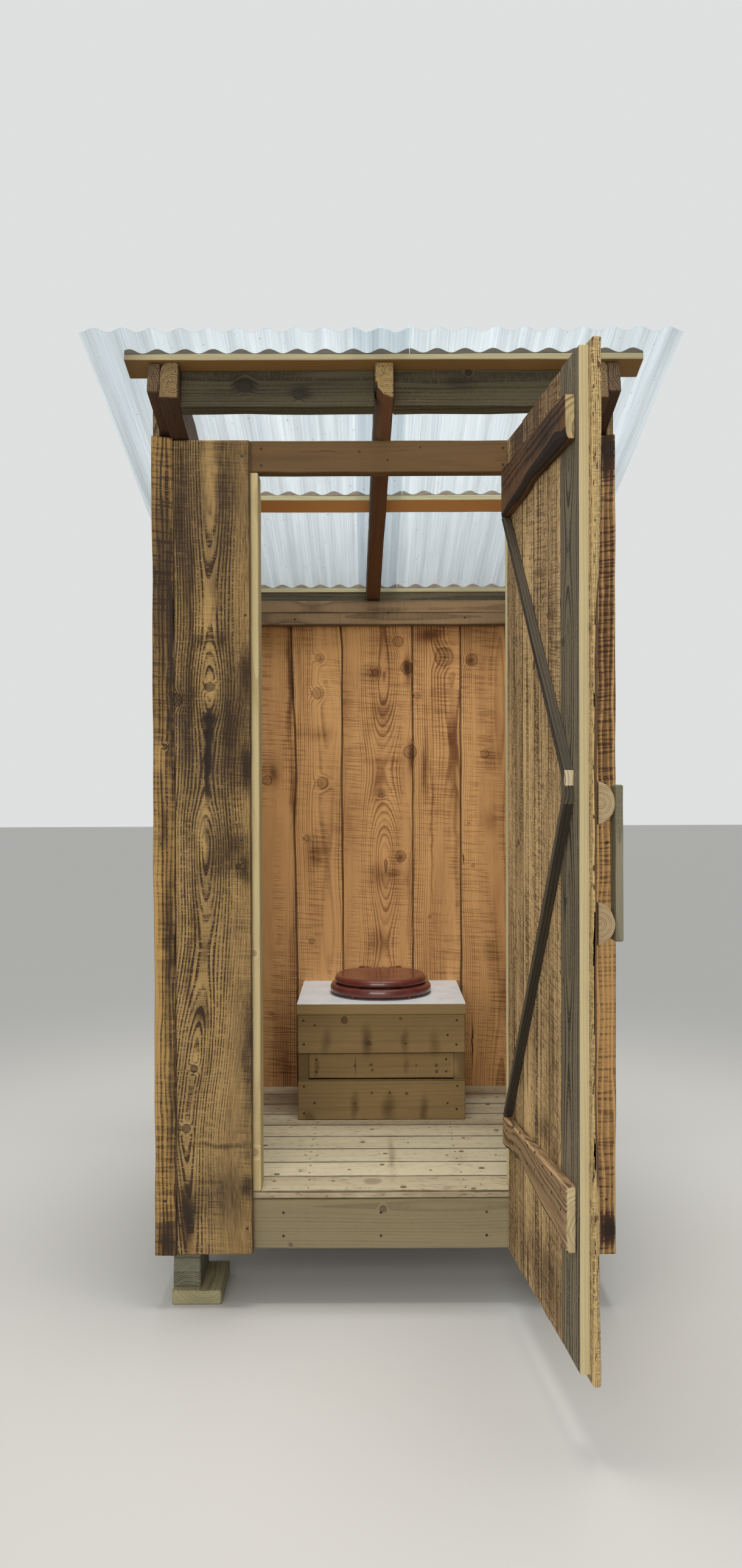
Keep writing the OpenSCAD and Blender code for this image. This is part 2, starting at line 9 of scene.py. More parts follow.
import bpy
import numpy as np
from mathutils import Matrix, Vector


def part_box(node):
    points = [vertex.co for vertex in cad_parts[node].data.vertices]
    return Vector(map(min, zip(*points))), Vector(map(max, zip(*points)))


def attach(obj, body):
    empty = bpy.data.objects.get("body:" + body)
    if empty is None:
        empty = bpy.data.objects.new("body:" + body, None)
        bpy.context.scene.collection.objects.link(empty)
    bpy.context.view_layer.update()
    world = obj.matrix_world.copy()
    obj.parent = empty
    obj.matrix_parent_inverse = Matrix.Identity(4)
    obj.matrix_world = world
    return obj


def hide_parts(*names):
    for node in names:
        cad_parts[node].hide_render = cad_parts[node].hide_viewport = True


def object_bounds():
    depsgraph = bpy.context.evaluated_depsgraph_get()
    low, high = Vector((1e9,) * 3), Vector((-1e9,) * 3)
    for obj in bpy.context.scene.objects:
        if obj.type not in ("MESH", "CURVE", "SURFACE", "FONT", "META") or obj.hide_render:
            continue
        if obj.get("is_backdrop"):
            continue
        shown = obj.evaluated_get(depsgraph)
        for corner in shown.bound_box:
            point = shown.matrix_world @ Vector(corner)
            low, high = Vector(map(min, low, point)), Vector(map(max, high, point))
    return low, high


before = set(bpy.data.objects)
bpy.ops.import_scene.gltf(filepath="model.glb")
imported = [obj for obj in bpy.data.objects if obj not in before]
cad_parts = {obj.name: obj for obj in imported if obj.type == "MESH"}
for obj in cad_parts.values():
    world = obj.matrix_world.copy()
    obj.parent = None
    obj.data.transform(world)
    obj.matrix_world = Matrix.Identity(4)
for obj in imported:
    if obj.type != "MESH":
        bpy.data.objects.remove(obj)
cad_low, cad_high = (np.array(c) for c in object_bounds())
print("CAD box", tuple(round(v, 3) for v in cad_low), tuple(round(v, 3) for v in cad_high))

# %% [markdown]
# ## The camera
# The photograph was taken standing, about three and a half metres in front of the wall, looking
# almost straight ahead. The place and the lens below were worked out from boards of known size. A
# camera looks along its own -Z with +Y up, so its matrix is three unit vectors and a place.

# %% Camera at the photograph's view
CAMERA_PLACE = (-0.037, -3.800, 1.557)
YAW, PITCH, ROLL = (math.radians(a) for a in (0.093, -0.622, -0.199))
FOCAL_PIXELS = 1962
PHOTO_HEIGHT = 2576


def standing(side, above, back, place):
    """The matrix of something that has these three axes and stands at that place."""
    rows = np.stack([side, above, back], 1).tolist()
    return Matrix([[*row, shift] for row, shift in zip(rows, place)] + [[0, 0, 0, 1]])


ahead = np.array([math.sin(YAW) * math.cos(PITCH), math.cos(YAW) * math.cos(PITCH), math.sin(PITCH)])
level = np.array([math.cos(YAW), -math.sin(YAW), 0.0])
above = np.cross(level, ahead)
right = level * math.cos(ROLL) + above * math.sin(ROLL)
up = above * math.cos(ROLL) - level * math.sin(ROLL)

lens = bpy.data.cameras.new("view")
lens.sensor_width = 36
lens.lens = lens.sensor_width * FOCAL_PIXELS / PHOTO_HEIGHT
camera = bpy.data.objects.new("view", lens)
bpy.context.scene.collection.objects.link(camera)
camera.matrix_world = standing(right, up, -ahead, CAMERA_PLACE)
bpy.context.scene.camera = camera
bpy.context.scene.view_settings.view_transform = "Standard"
print("lens", round(lens.lens, 2), "mm")

# %% [markdown]
# ## A tool for drawing shader nodes
# A node tree is a drawing of a formula. A `Value` stands for what a node puts out, so a formula can
# be written with plain signs, and each sign adds its node. `Wires` adds all other nodes. A number
# goes into the socket itself, and a Value is joined to it.

# %% Value


class Value:
    """A number, vector or colour that a node puts out. Each sign between two adds a math node."""

    def __init__(self, wires, socket):
        self.wires, self.socket = wires, socket

    def __add__(self, other):
        return self.wires.math("ADD", self, other)

    def __sub__(self, other):
        return self.wires.math("SUBTRACT", self, other)

    def __rsub__(self, other):
        return self.wires.math("SUBTRACT", other, self)

    def __mul__(self, other):
        return self.wires.math("MULTIPLY", self, other)

    def __truediv__(self, other):
        return self.wires.math("DIVIDE", self, other)

    __radd__, __rmul__ = __add__, __mul__


# %% Wires


class Wires:
    """Adds nodes to one tree. Every method but node and put returns a Value."""

    def __init__(self, tree):
        self.tree = tree

    def put(self, socket, value):
        if isinstance(value, Value):
            self.tree.links.new(value.socket, socket)
        else:
            socket.default_value = value

    def node(self, kind, values=(), **settings):
        made = self.tree.nodes.new(kind)
        for key, value in settings.items():
            setattr(made, key, value)
        for key, value in dict(values).items():
            self.put(made.inputs[key], value)
        return made

    def value(self, kind, values=(), out=0, **settings):
        return Value(self, self.node(kind, values, **settings).outputs[out])

    def math(self, operation, *values, clamp=False):
        return self.value("ShaderNodeMath", enumerate(values), operation=operation, use_clamp=clamp)

    def vector(self, operation, *values, out="Vector"):
        return self.value("ShaderNodeVectorMath", enumerate(values), out, operation=operation)

    def scaled(self, vector, factors):
        return self.vector("MULTIPLY", vector, factors)

    def part(self, vector, axis):
        return self.value("ShaderNodeSeparateXYZ", {0: vector}, axis)

    def noise(self, vector, detail=2.0, roughness=0.5, scale=1.0, out="Fac"):
        values = {"Vector": vector, "Scale": scale, "Detail": detail, "Roughness": roughness}
        return self.value("ShaderNodeTexNoise", values, out)

    def between(self, value, low, high, at_low=0.0, at_high=1.0):
        values = {"Value": value, 1: low, 2: high, 3: at_low, 4: at_high}
        return self.value("ShaderNodeMapRange", values, interpolation_type="SMOOTHSTEP")

    def blend(self, factor, first, second, how="MIX"):
        values = {0: factor, 6: first, 7: second}
        return self.value("ShaderNodeMix", values, 2, data_type="RGBA", blend_type=how, clamp_factor=True)

    def attribute(self, name, out="Fac"):
        return self.value("ShaderNodeAttribute", out=out, attribute_name=name)

    def place(self):
        return self.value("ShaderNodeTexCoord", out="Object")

    def facing(self, axis):
        return self.part(self.value("ShaderNodeNewGeometry", out="Normal"), axis)

    def bump(self, height, distance, **more):
        return self.value("ShaderNodeBump", {"Height": height, "Distance": distance, **more})


# %% Groups and plain materials
SOCKETS = {1: "NodeSocketFloat", 3: "NodeSocketVector", 4: "NodeSocketColor"}


def group(name, inputs, outputs):
    """A shader group from {name: value} for both ends. A value's length says number, vector or colour."""
    tree = bpy.data.node_groups.new(name, "ShaderNodeTree")
    for end, sockets in (("INPUT", inputs), ("OUTPUT", outputs)):
        for title, value in sockets.items():
            made = tree.interface.new_socket(title, in_out=end, socket_type=SOCKETS[np.size(value)])
            made.default_value = value
    wires = Wires(tree)
    given = {socket.name: Value(wires, socket) for socket in wires.node("NodeGroupInput").outputs}
    return wires, given, wires.node("NodeGroupOutput").inputs


def plain_material(name, colour, roughness, **sockets):
    """A material with one colour, the wires to add to it, and its shader."""
    material = bpy.data.materials.new(name)
    material.use_nodes = True
    material.diffuse_color = (*colour, 1)
    shader = material.node_tree.nodes["Principled BSDF"]
    shader.inputs["Base Color"].default_value = (*colour, 1)
    shader.inputs["Roughness"].default_value = roughness
    for title, value in sockets.items():
        shader.inputs[title.replace("_", " ")].default_value = value
    return material, Wires(material.node_tree), shader


# %% [markdown]
# ## Knots, stains and painted shadows at their own places
# Random knots look alive, but they never sit where the real ones do. So a small group adds one soft
# spot to a number: its full strength in the middle, nothing at its rim. A chain of such groups can
# hold all the knots of a wall, and another chain its stains and painted shadows. The spots read the
# Object coordinates, so a knot goes right through its board.

# %% Spot group
wires, given, result = group("Spot", {
    "Value": 0.0, "Place": (0, 0, 0), "Middle": (0, 0, 0), "Size": (1, 1, 1), "Strength": 1.0},
    {"Value": 0.0})
away = wires.vector("DIVIDE", wires.vector("SUBTRACT", given["Place"], given["Middle"]), given["Size"])
away = wires.vector("LENGTH", away, out="Value")
wires.put(result["Value"], given["Value"] + given["Strength"] * wires.between(away, 1.0, 0.0))
print("Spot group has", len(wires.tree.nodes), "nodes")

# %% Rows of spots
KNOT_REACH = 2.6  # half size of a knot's spot, in radii of its heart
RIGHT_THROUGH = 99.0  # half depth of a spot in metres: more than any board


def marks(flat_axis, rows):
    """Spots on a face square to one axis (0, 1 or 2).

    A row has two places, two half sizes and a strength. A row of three numbers is a knot: two places and
    the radius of its heart."""
    found = []
    for p, q, *rest in rows:
        a, b, strength = rest if len(rest) == 3 else (KNOT_REACH * rest[0], KNOT_REACH * rest[0], 1.0)
        middle, size = [p, q], [a, b]
        middle.insert(flat_axis, 0.0)
        size.insert(flat_axis, RIGHT_THROUGH)
        found.append((middle, size, strength))
    return found


def chain(w, place, rows):
    """The sum of a row of spots, each group adding its own to the one before."""
    value = 0.0
    for middle, size, strength in rows:
        sockets = {"Value": value, "Place": place, "Middle": middle, "Size": size, "Strength": strength}
        value = w.value("ShaderNodeGroup", out="Value", node_tree=bpy.data.node_groups["Spot"])
        for title, given_value in sockets.items():
            w.put(value.socket.node.inputs[title], given_value)
    return value


# %% [markdown]
# ## Solid timber
# A board is a slice of a trunk, so its pattern is solid: every point of a board knows how far it is
# along the log and where it is beside the pith. The yearly rings are bands of the distance to the
# pith. On a wide face they become long flames, and on a cut end they become arcs, and nothing has
# to be drawn twice. The mesh carries attributes for this: `grain` (along, across and deep from the
# pith, in metres), `tone` (one number a board), `bark`, one for dirt and painted shade in the seams,
# and `cut` on the sawn ends.

# %% Timber group and its noises
# near-black of burn marks, also used for the painted shadows that the strongest stain rows give
SCORCH = (0.022, 0.016, 0.011, 1)
# dark brown of dirt and of painted shade in the seams, and the bark's default colour
SOIL_AND_SEAM_SHADE = (0.034, 0.019, 0.012, 1)

wires, given, result = group("Timber", {
    "Dark": (0.1, 0.05, 0.02, 1), "Light": (0.4, 0.25, 0.1, 1), "Grey": (0.1, 0.1, 0.08, 1),
    "Ring Width": 0.005, "Grain": 0.5, "Fibre": 0.4, "Saw": 0.0, "Saw Pitch": 0.006, "Saw Tilt": 0.06,
    "Saw Gaps": 1.0, "Flecks": 0.0, "Knots": 0.0, "Knot": 0.0, "Heart": 0.7, "Burn and Shade": 0.0, "Plain": 0.0,
    "Wave": 0.003, "Weather": 0.2, "Stain": 0.4, "End": (0.3, 0.2, 0.1, 1), "Ends": 0.0, "Bark": SOIL_AND_SEAM_SHADE},
    {"Color": SOIL_AND_SEAM_SHADE, "Roughness": 0.5, "Height": 0.0})
grain = wires.attribute("grain", "Vector")
along, across, deep = (wires.part(grain, axis) for axis in range(3))


def grained(*factors, **numbers):
    """Noise on the board's own places, stretched by three factors."""
    return wires.noise(wires.scaled(grain, factors), **numbers)


slow = grained(0.8, 6, 6) - 0.5
quick = grained(5, 32, 32)
waver = quick - 0.5
fibre = grained(9, 300, 300, detail=5, roughness=0.7)
blot = grained(1.7, 9, 9, detail=4, roughness=0.6)

# %% [markdown]
# A knot is the root of a branch. It has a dark heart and a rim, and the yearly rings bend round it.
# Random knots come from a pattern of cells, and the known ones from the chain of spots.

# %% Knots
KNOT_PITCH = 3.4
knot_far = wires.value("ShaderNodeTexVoronoi", {"Vector": grain, "Scale": KNOT_PITCH}, "Distance")
knot_far = knot_far / KNOT_PITCH + 0.01 * waver
swell = given["Knot"] + 0.25 * waver
heart = given["Knots"] * wires.between(knot_far, 0.034, 0.020)
heart = wires.math("MAXIMUM", wires.between(swell, 0.60, 0.72), heart, clamp=True)
rim = given["Heart"] * wires.between(swell, 0.50, 0.60) * wires.between(swell, 0.72, 0.62)
bend = 0.014 * given["Knots"] * wires.between(knot_far, 0.11, 0.015) + 0.015 * given["Knot"]

# %% [markdown]
# The late wood of each year is a dark band. Some years grew stronger bands than others, and in rough
# wood torn fibres crumble them.

# %% Yearly rings
radius = wires.math("SQRT", across * across + deep * deep) + 0.035 * slow + given["Wave"] * waver
ring = wires.math("FRACT", (radius + bend) / given["Ring Width"])
late = wires.between(ring, 0.35, 0.88) * wires.between(ring, 1.0, 0.93)
year = wires.value("ShaderNodeCombineXYZ", {0: radius / (1.6 * given["Ring Width"])})
late = late * wires.between(wires.noise(year, detail=0), 0.30, 0.68, 0.35, 1.35)
crumble = 4.5 * given["Fibre"] * (grained(240, 50, 50) - 0.5)
late = wires.math("MULTIPLY", late, crumble + 1.0, clamp=True)
strength = given["Grain"] * wires.math("SUBTRACT", 1.0, given["Plain"], clamp=True)

# %% [markdown]
# A band saw leaves a ladder of fine marks across the board, with gaps in it, and tears small flecks out.

# %% Saw marks
ladder_place = wires.value("ShaderNodeCombineXYZ", {
    0: (along + given["Saw Tilt"] * across) / given["Saw Pitch"], 1: 8 * across, 2: 8 * deep})
patchy = 1.0 - given["Saw Gaps"] * wires.between(grained(2.4, 14, 14), 0.60, 0.38)
ladder = given["Saw"] * patchy * wires.between(wires.noise(ladder_place), 0.47, 0.62)
fleck = given["Flecks"] * wires.between(grained(38, 190, 190, detail=1), 0.62, 0.70)

# %% [markdown]
# All of these change one number, and with it the colour runs from the dark wood to the light wood.
# Knots, weather, burn marks and painted shadows are laid over it.

# %% Colour of the face
shade = 0.6 + given["Fibre"] * (fibre - 0.5) + strength * (0.25 - late) + given["Stain"] * (blot - 0.5)
shade = shade + 0.6 * (wires.attribute("tone") - 0.5) - 0.6 * ladder - 0.9 * fleck - rim - given["Burn and Shade"]
colour = wires.blend(wires.between(shade, -0.1, 1.1), given["Dark"], given["Light"])
colour = wires.blend(heart * given["Heart"], colour, wires.blend(0.4, given["Dark"], SCORCH))
worn = given["Weather"] * wires.between(grained(1.1, 5, 5, detail=3), 0.35, 0.65)
colour = wires.blend(worn, colour, wires.blend(0.6 * fibre, given["Grey"], SCORCH))
# burn marks and the painted shadows of the strongest stain rows turn near black
burnt_and_shaded = wires.between(given["Burn and Shade"] + 0.5 * waver, 0.30, 1.0, 0.0, 0.85)
colour = wires.blend(burnt_and_shaded, colour, SCORCH)

# %% [markdown]
# Sawn ends, dirt and painted shade in the seams, and bark cover the face where the mesh says so. The
# height for the bump is a sum of the same parts.

# %% Ends, seam shade and dirt, bark and height
sawn_end = wires.blend(late, given["End"], wires.blend(0.6, given["End"], given["Dark"]))
damp = wires.between(blot, 0.45, 0.75)
sawn_end = wires.blend(damp, sawn_end, wires.blend(0.35, given["End"], given["Dark"]))
sawn_end = wires.blend(fleck, sawn_end, SCORCH)
colour = wires.blend(given["Ends"] * wires.attribute("cut"), colour, sawn_end)
# dirt and painted shade of the seams: the rounded board edges darken towards the soil colour
dirt = wires.attribute("dirt") * wires.between(quick, 0.25, 0.5, 0.55, 0.95)
colour = wires.blend(dirt, colour, SOIL_AND_SEAM_SHADE)
bark = wires.attribute("bark") + 0.35 * waver
fresh = wires.between(bark, 0.22, 0.34) * wires.between(bark, 0.55, 0.42)
colour = wires.blend(0.55 * fresh, colour, given["Light"])
bark = wires.between(bark, 0.40, 0.56, 0.0, 0.92)
colour = wires.blend(bark, colour, given["Bark"])
scorched = wires.between(given["Burn and Shade"], 0.9, 1.2)
height = strength * late + given["Fibre"] * fibre - 0.8 * ladder - fleck - 0.6 * rim
height = height + 2.0 * bark * quick - 1.5 * scorched
wires.put(result["Color"], colour)
wires.put(result["Roughness"], 0.62 + 0.25 * fibre)
wires.put(result["Height"], height)
print("Timber group has", len(wires.tree.nodes), "nodes")

# %% [markdown]
# ## Wood finishes
# All woods of this building are the same formula with other numbers: fresh planed studs have fine
# pale grain, the wide front boards came rough from the saw with deep relief, and the old blocking
# has gone grey. A bump of a few tenths of a millimetre catches the light on each. The lists give the
# knots and stains of the boards that have strong ones, in metres on the face of the board, and some
# rows of the stain lists are painted shade or shadow.

# %% Marks of the front wall
FRONT_KNOTS = [
    (-0.589, 1.763, 0.015), (-0.543, 0.702, 0.01), (-0.567, 0.529, 0.011), (-0.413, 1.285, 0.007),
    (-0.492, 1.8, 0.012), (0.455, 1.95, 0.014), (0.53, 1.31, 0.016), (0.44, 0.72, 0.012)]
FRONT_STAINS = [
    (-0.492, 1.795, 0.032, 0.055, -0.8), (-0.495, 1.712, 0.036, 0.028, 0.8),
    (-0.496, 1.67, 0.022, 0.05, 0.8), (-0.5, 1.6, 0.013, 0.08, 0.8), (-0.503, 1.52, 0.009, 0.1, 0.65),
    (-0.508, 1.44, 0.022, 0.07, -0.35), (-0.516, 1.35, 0.017, 0.08, -0.5),
    (-0.43, 1.33, 0.08, 0.12, 0.45), (-0.575, 2.25, 0.05, 0.4, 0.4), (-0.489, 2.4, 0.034, 0.24, -0.55),
    (-0.495, 2.02, 0.03, 0.14, -0.45), (-0.41, 2.2, 0.05, 0.4, -0.15), (-0.566, 0.27, 0.04, 0.17, 0.75),
    (-0.4, 0.82, 0.04, 0.2, 0.3), (-0.49, 1.64, 0.22, 0.36, 0.36), (-0.45, 0.85, 0.2, 0.6, -0.15),
    (-0.54, 0.72, 0.025, 0.05, -0.4), (-0.566, 0.54, 0.022, 0.05, -0.4), (-0.48, 0.48, 0.15, 0.012, 0.4),
    (-0.49, 2.35, 0.22, 0.42, 0.29), (-0.52, 1.93, 0.03, 0.05, 0.45), (-0.465, 1.93, 0.03, 0.05, 0.45),
    (-0.54, 1.15, 0.03, 0.2, 0.3), (-0.52, 0.86, 0.04, 0.06, 0.5), (-0.555, 0.96, 0.02, 0.14, 0.35),
    (-0.385, 1.56, 0.034, 0.12, 0.45), (-0.39, 1.27, 0.04, 0.08, 0.5), (-0.385, 0.7, 0.026, 0.4, 0.35),
    (-0.385, 1.85, 0.03, 0.1, 0.4), (-0.545, 2.0, 0.02, 0.35, 0.3), (-0.39, 0.36, 0.03, 0.05, 0.4),
    (-0.56, 1.75, 0.04, 0.5, 0.35), (-0.44, 1.7, 0.034, 0.4, 0.25), (-0.5, 1.3, 0.06, 0.1, 0.25),
    (-0.49, 0.33, 0.18, 0.14, 0.3), (0.49, 1.55, 0.03, 0.22, 0.6), (0.55, 0.4, 0.06, 0.2, 0.4),
    (0.44, 2.2, 0.04, 0.3, 0.3)]
FRONT_PLAINS = [
    (-0.385, 1.9, 0.07, 1.4, 0.9), (-0.4, 0.7, 0.095, 0.85, 0.85), (-0.489, 2.43, 0.042, 0.22, 1.7),
    (-0.49, 2.04, 0.036, 0.11, 1.7), (-0.492, 1.79, 0.034, 0.06, 1.3), (-0.6, 2.1, 0.02, 0.6, 0.6),
    (-0.5, 1.6, 0.022, 0.16, 0.9), (-0.508, 1.4, 0.024, 0.07, 0.9), (-0.5, 1.23, 0.026, 0.06, 0.9),
    (-0.51, 1.02, 0.022, 0.12, 0.8), (0.57, 1.5, 0.06, 1.2, 0.8), (-0.44, 0.3, 0.13, 0.42, 1.0),
    (-0.43, 2.48, 0.11, 0.3, 0.8)]
STRIP_STAINS = [
    (-0.63, 1.85, 0.08, 0.6, 0.32), (-0.604, 1.85, 0.016, 0.75, 0.45), (-0.612, 1.05, 0.024, 0.4, 0.55),
    (-0.622, 0.2, 0.05, 0.12, 0.7), (-0.63, 2.2, 0.06, 0.45, 0.4), (-0.654, 1.0, 0.026, 0.6, -0.65),
    (-0.608, 0.6, 0.018, 0.35, 0.45), (-0.64, 1.6, 0.026, 0.07, -0.55), (-0.628, 1.4, 0.018, 0.1, 0.4)]
OUTER_STAINS = [
    (0.65, 0.235, 0.06, 0.075, 1.0), (0.65, 0.9, 0.08, 0.65, -0.42), (0.65, 2.47, 0.06, 0.12, 0.9),
    (0.65, 1.9, 0.1, 0.7, 0.22)]
print(len(FRONT_KNOTS), "knots and", len(FRONT_STAINS), "stains on the front boards")

# %% Marks of the back wall
BACK_KNOTS = [
    (-0.226, 1.993, 0.015), (-0.234, 1.857, 0.019), (-0.216, 1.512, 0.019), (-0.278, 1.299, 0.011),
    (-0.261, 0.901, 0.01), (0.077, 2.056, 0.018), (0.108, 1.955, 0.021), (-0.013, 1.936, 0.012),
    (0.124, 1.629, 0.022), (0.012, 1.469, 0.013), (0.084, 1.227, 0.019), (0.255, 1.995, 0.03),
    (0.147, 1.847, 0.012), (0.361, 1.984, 0.02), (0.347, 1.355, 0.0045), (0.363, 1.19, 0.007),
    (0.196, 0.993, 0.006), (-0.43, 1.52, 0.016), (0.41, 1.62, 0.015), (-0.42, 0.62, 0.008)]
BACK_STAINS_AND_SHADOWS = [
    (-0.34, 1.9, 0.022, 0.42, 0.6), (-0.332, 1.45, 0.02, 0.26, 0.5), (-0.3, 1.85, 0.018, 0.45, 0.2),
    (-0.33, 0.95, 0.025, 0.3, 0.3), (-0.37, 0.48, 0.07, 0.34, 0.35), (0.0, 0.36, 0.8, 0.14, 0.3),
    (-0.02, 1.93, 0.07, 0.05, 0.42), (0.116, 1.95, 0.026, 0.1, 0.45), (0.124, 1.62, 0.022, 0.09, 0.6),
    (0.12, 1.08, 0.02, 0.4, 0.18), (0.19, 2.08, 0.09, 0.05, 0.45), (0.29, 1.65, 0.026, 0.36, 0.35),
    (0.18, 1.56, 0.02, 0.18, 0.45), (0.359, 0.505, 0.003, 0.14, 1.4), (0.33, 1.22, 0.003, 0.03, 1.2),
    (0.012, 1.785, 0.06, 0.08, 0.34), (0.0, 1.5, 0.045, 0.14, 0.36), (0.0, 1.15, 0.09, 0.08, 0.36),
    (-0.24, 1.7, 0.1, 0.05, 0.3), (-0.42, 1.56, 0.07, 0.09, 0.28), (0.43, 0.86, 0.05, 0.07, 0.25),
    (0.108, 1.955, 0.022, 0.045, 0.45), (0.361, 1.984, 0.02, 0.03, 0.55),
    (0.084, 1.227, 0.02, 0.024, 0.45), (0.255, 1.995, 0.026, 0.008, 0.4),
    (-0.226, 1.993, 0.014, 0.014, 0.25), (-0.4, 1.54, 0.03, 0.06, 0.28), (-0.25, 1.24, 0.06, 0.1, 0.36),
    (0.0, 0.56, 0.06, 0.07, 0.35), (0.3, 1.3, 0.014, 0.5, 0.3), (0.205, 1.35, 0.01, 0.5, 0.3),
    (0.43, 1.36, 0.06, 0.08, 0.28), (0.44, 1.6, 0.05, 0.07, 0.24), (0.0, 0.9, 0.07, 0.08, 0.34),
    # the wide thin rows at heights 2.10 and 2.12 are a painted shadow under the rear plate
    (0.02, 1.594, 0.13, 0.02, 0.22), (0.05, 1.16, 0.06, 0.02, 0.2), (0.3, 2.1, 0.35, 0.05, 0.25),
    (-0.25, 2.12, 0.3, 0.04, 0.25)]
BACK_PLAINS = [
    (-0.42, 1.3, 0.13, 1.9, 1.3), (-0.24, 0.9, 0.08, 0.5, 0.8), (0.1, 1.3, 0.04, 1.4, 1.2),
    (-0.1, 1.3, 0.05, 1.6, 1.3), (0.25, 1.15, 0.11, 0.8, 0.9), (0.42, 1.3, 0.13, 1.6, 1.0),
    (-0.185, 1.75, 0.05, 0.6, 0.8), (0.6, 1.2, 0.12, 1.6, 1.0), (0.02, 1.62, 0.04, 0.12, 0.6)]
print(len(BACK_KNOTS), "knots and", len(BACK_STAINS_AND_SHADOWS), "stains on the back boards")

# %% Marks of the bench, roof, floor and door
BENCH_KNOTS = [
    (-0.126, 0.687, 0.01), (-0.04, 0.607, 0.007), (0.07, 0.692, 0.004), (0.088, 0.606, 0.004),
    (-0.09, 0.523, 0.004), (-0.033, 0.526, 0.005), (0.196, 0.524, 0.005), (0.196, 0.503, 0.005),
    (-0.029, 0.507, 0.004), (0.126, 0.523, 0.003), (-0.09, 0.397, 0.004), (-0.031, 0.433, 0.004),
    (0.031, 0.433, 0.004), (0.09, 0.43, 0.005)]
BENCH_STAINS = [
    (-0.19, 0.615, 0.026, 0.07, 0.28), (-0.048, 0.615, 0.028, 0.08, 0.45),
    (0.085, 0.612, 0.02, 0.07, 0.3), (-0.092, 0.385, 0.018, 0.09, 0.34),
    (0.03, 0.378, 0.036, 0.08, 0.36), (0.15, 0.37, 0.022, 0.08, 0.34), (0.19, 0.6, 0.03, 0.07, 0.24),
    (-0.225, 0.52, 0.014, 0.06, 0.32), (0.09, 0.52, 0.014, 0.05, 0.25), (-0.25, 0.35, 0.03, 0.03, 0.3),
    (-0.09, 0.52, 0.006, 0.05, 0.4), (0.262, 0.52, 0.02, 0.045, -0.3)]
BLOCKING_KNOTS = [(-0.374, 2.617, 0.016), (-0.227, 2.59, 0.012), (0.24, 2.652, 0.008)]
BLOCKING_STAINS = [
    (-0.374, 2.617, 0.05, 0.04, 0.7), (-0.222, 2.59, 0.05, 0.03, 0.6), (0.22, 2.62, 0.08, 0.03, 0.3)]
HEADER_KNOTS = [(-0.062, 2.478, 0.0035), (0.113, 2.49, 0.003), (0.02, 2.455, 0.003)]
HEADER_STAINS = [
    (-0.17, 2.475, 0.11, 0.0022, 0.6), (0.06, 2.481, 0.06, 0.002, 0.4), (-0.3, 2.46, 0.25, 0.03, 0.12)]
RIM_KNOTS = [(-0.001, 0.286, 0.008), (-0.269, 0.182, 0.006)]
RIM_STAINS = [
    (-0.2, 0.285, 0.5, 0.04, 0.16), (0.25, 0.2, 0.4, 0.05, -0.14), (0.28, 0.235, 0.09, 0.01, 0.2)]
STUD_KNOTS = [(-0.372, 0.452, 0.011), (-0.373, 1.03, 0.008)]
# a painted shadow over the left end of the front purlin, on its face and on its underside colour
PURLIN_END_SHADE = [(-0.78, 2.68, 0.18, 0.3, 1.0)]
DECK_KNOTS = [
    (0.01, -0.009, 0.006), (-0.001, -0.114, 0.007), (0.304, -0.149, 0.008), (0.255, 0.013, 0.007),
    (-0.101, -0.16, 0.005), (-0.031, 0.252, 0.006), (-0.061, 0.112, 0.007), (0.272, 0.152, 0.006),
    (0.391, 0.238, 0.007), (-0.379, 0.08, 0.007), (-0.041, -0.365, 0.006), (-0.242, -0.018, 0.004),
    (0.086, 0.103, 0.004), (-0.32, -0.2, 0.008), (-0.25, -0.172, 0.004), (-0.182, -0.395, 0.006),
    (0.06, -0.313, 0.008), (-0.323, -0.26, 0.005), (0.264, -0.329, 0.006), (0.206, -0.024, 0.004),
    (-0.206, -0.024, 0.004), (0.148, -0.166, 0.004), (0.36, -0.024, 0.004), (-0.418, 0.631, 0.006),
    (-0.367, 0.5, 0.005), (0.392, 0.548, 0.007), (0.437, 0.647, 0.006), (-0.148, -0.26, 0.005)]
# the wide row at y 0.62 is painted shade on the floor under the bench, and the thin row at y -0.352 painted
# shade on the floor's front edge; the other rows are stains
DECK_STAINS_AND_SHADE = [
    (-0.2, 0.62, 0.6, 0.22, 0.5), (0.1, 0.3, 0.8, 0.09, 0.22), (0.3, 0.7, 0.3, 0.1, 0.3),
    (0.03, -0.02, 0.018, 0.28, 0.35), (0.24, -0.05, 0.05, 0.1, 0.15), (-0.25, -0.17, 0.03, 0.03, 0.25),
    (0.0, -0.352, 1.2, 0.018, 0.26)]
DOOR_KNOTS = [(-0.7, 1.83, 0.01), (-0.52, 1.36, 0.008), (-0.64, 0.56, 0.009)]
DOOR_STAINS_AND_SHADE = [
    (-0.8, 2.2, 0.12, 0.4, 0.1), (-0.7, 0.9, 0.1, 0.25, 0.25), (-0.87, 0.85, 0.05, 0.45, 0.25),
    (-0.64, 2.3, 0.02, 0.2, 0.25), (-0.43, 1.6, 0.04, 0.5, -0.25), (-0.8, 0.33, 0.2, 0.15, 0.2),
    # the wide row at height 0.26 is painted shade along the foot of the door
    (-0.75, 2.25, 0.006, 0.2, 0.5), (-0.7, 0.26, 0.5, 0.16, 0.3), (-0.65, 2.49, 0.5, 0.23, 0.58),
    (-0.78, 0.65, 0.13, 0.065, 0.42)]
GREY_KNOTS = [
    (-0.947, 2.276, 0.01), (-1.006, 1.422, 0.009), (-1.005, 1.251, 0.007), (-0.977, 1.06, 0.006),
    (-0.985, 1.86, 0.01)]
GREY_STAINS = [
    (-1.045, 1.5, 0.02, 0.9, 0.18), (-0.99, 1.25, 0.012, 0.07, 0.8), (-1.0, 0.42, 0.09, 0.4, -0.4)]
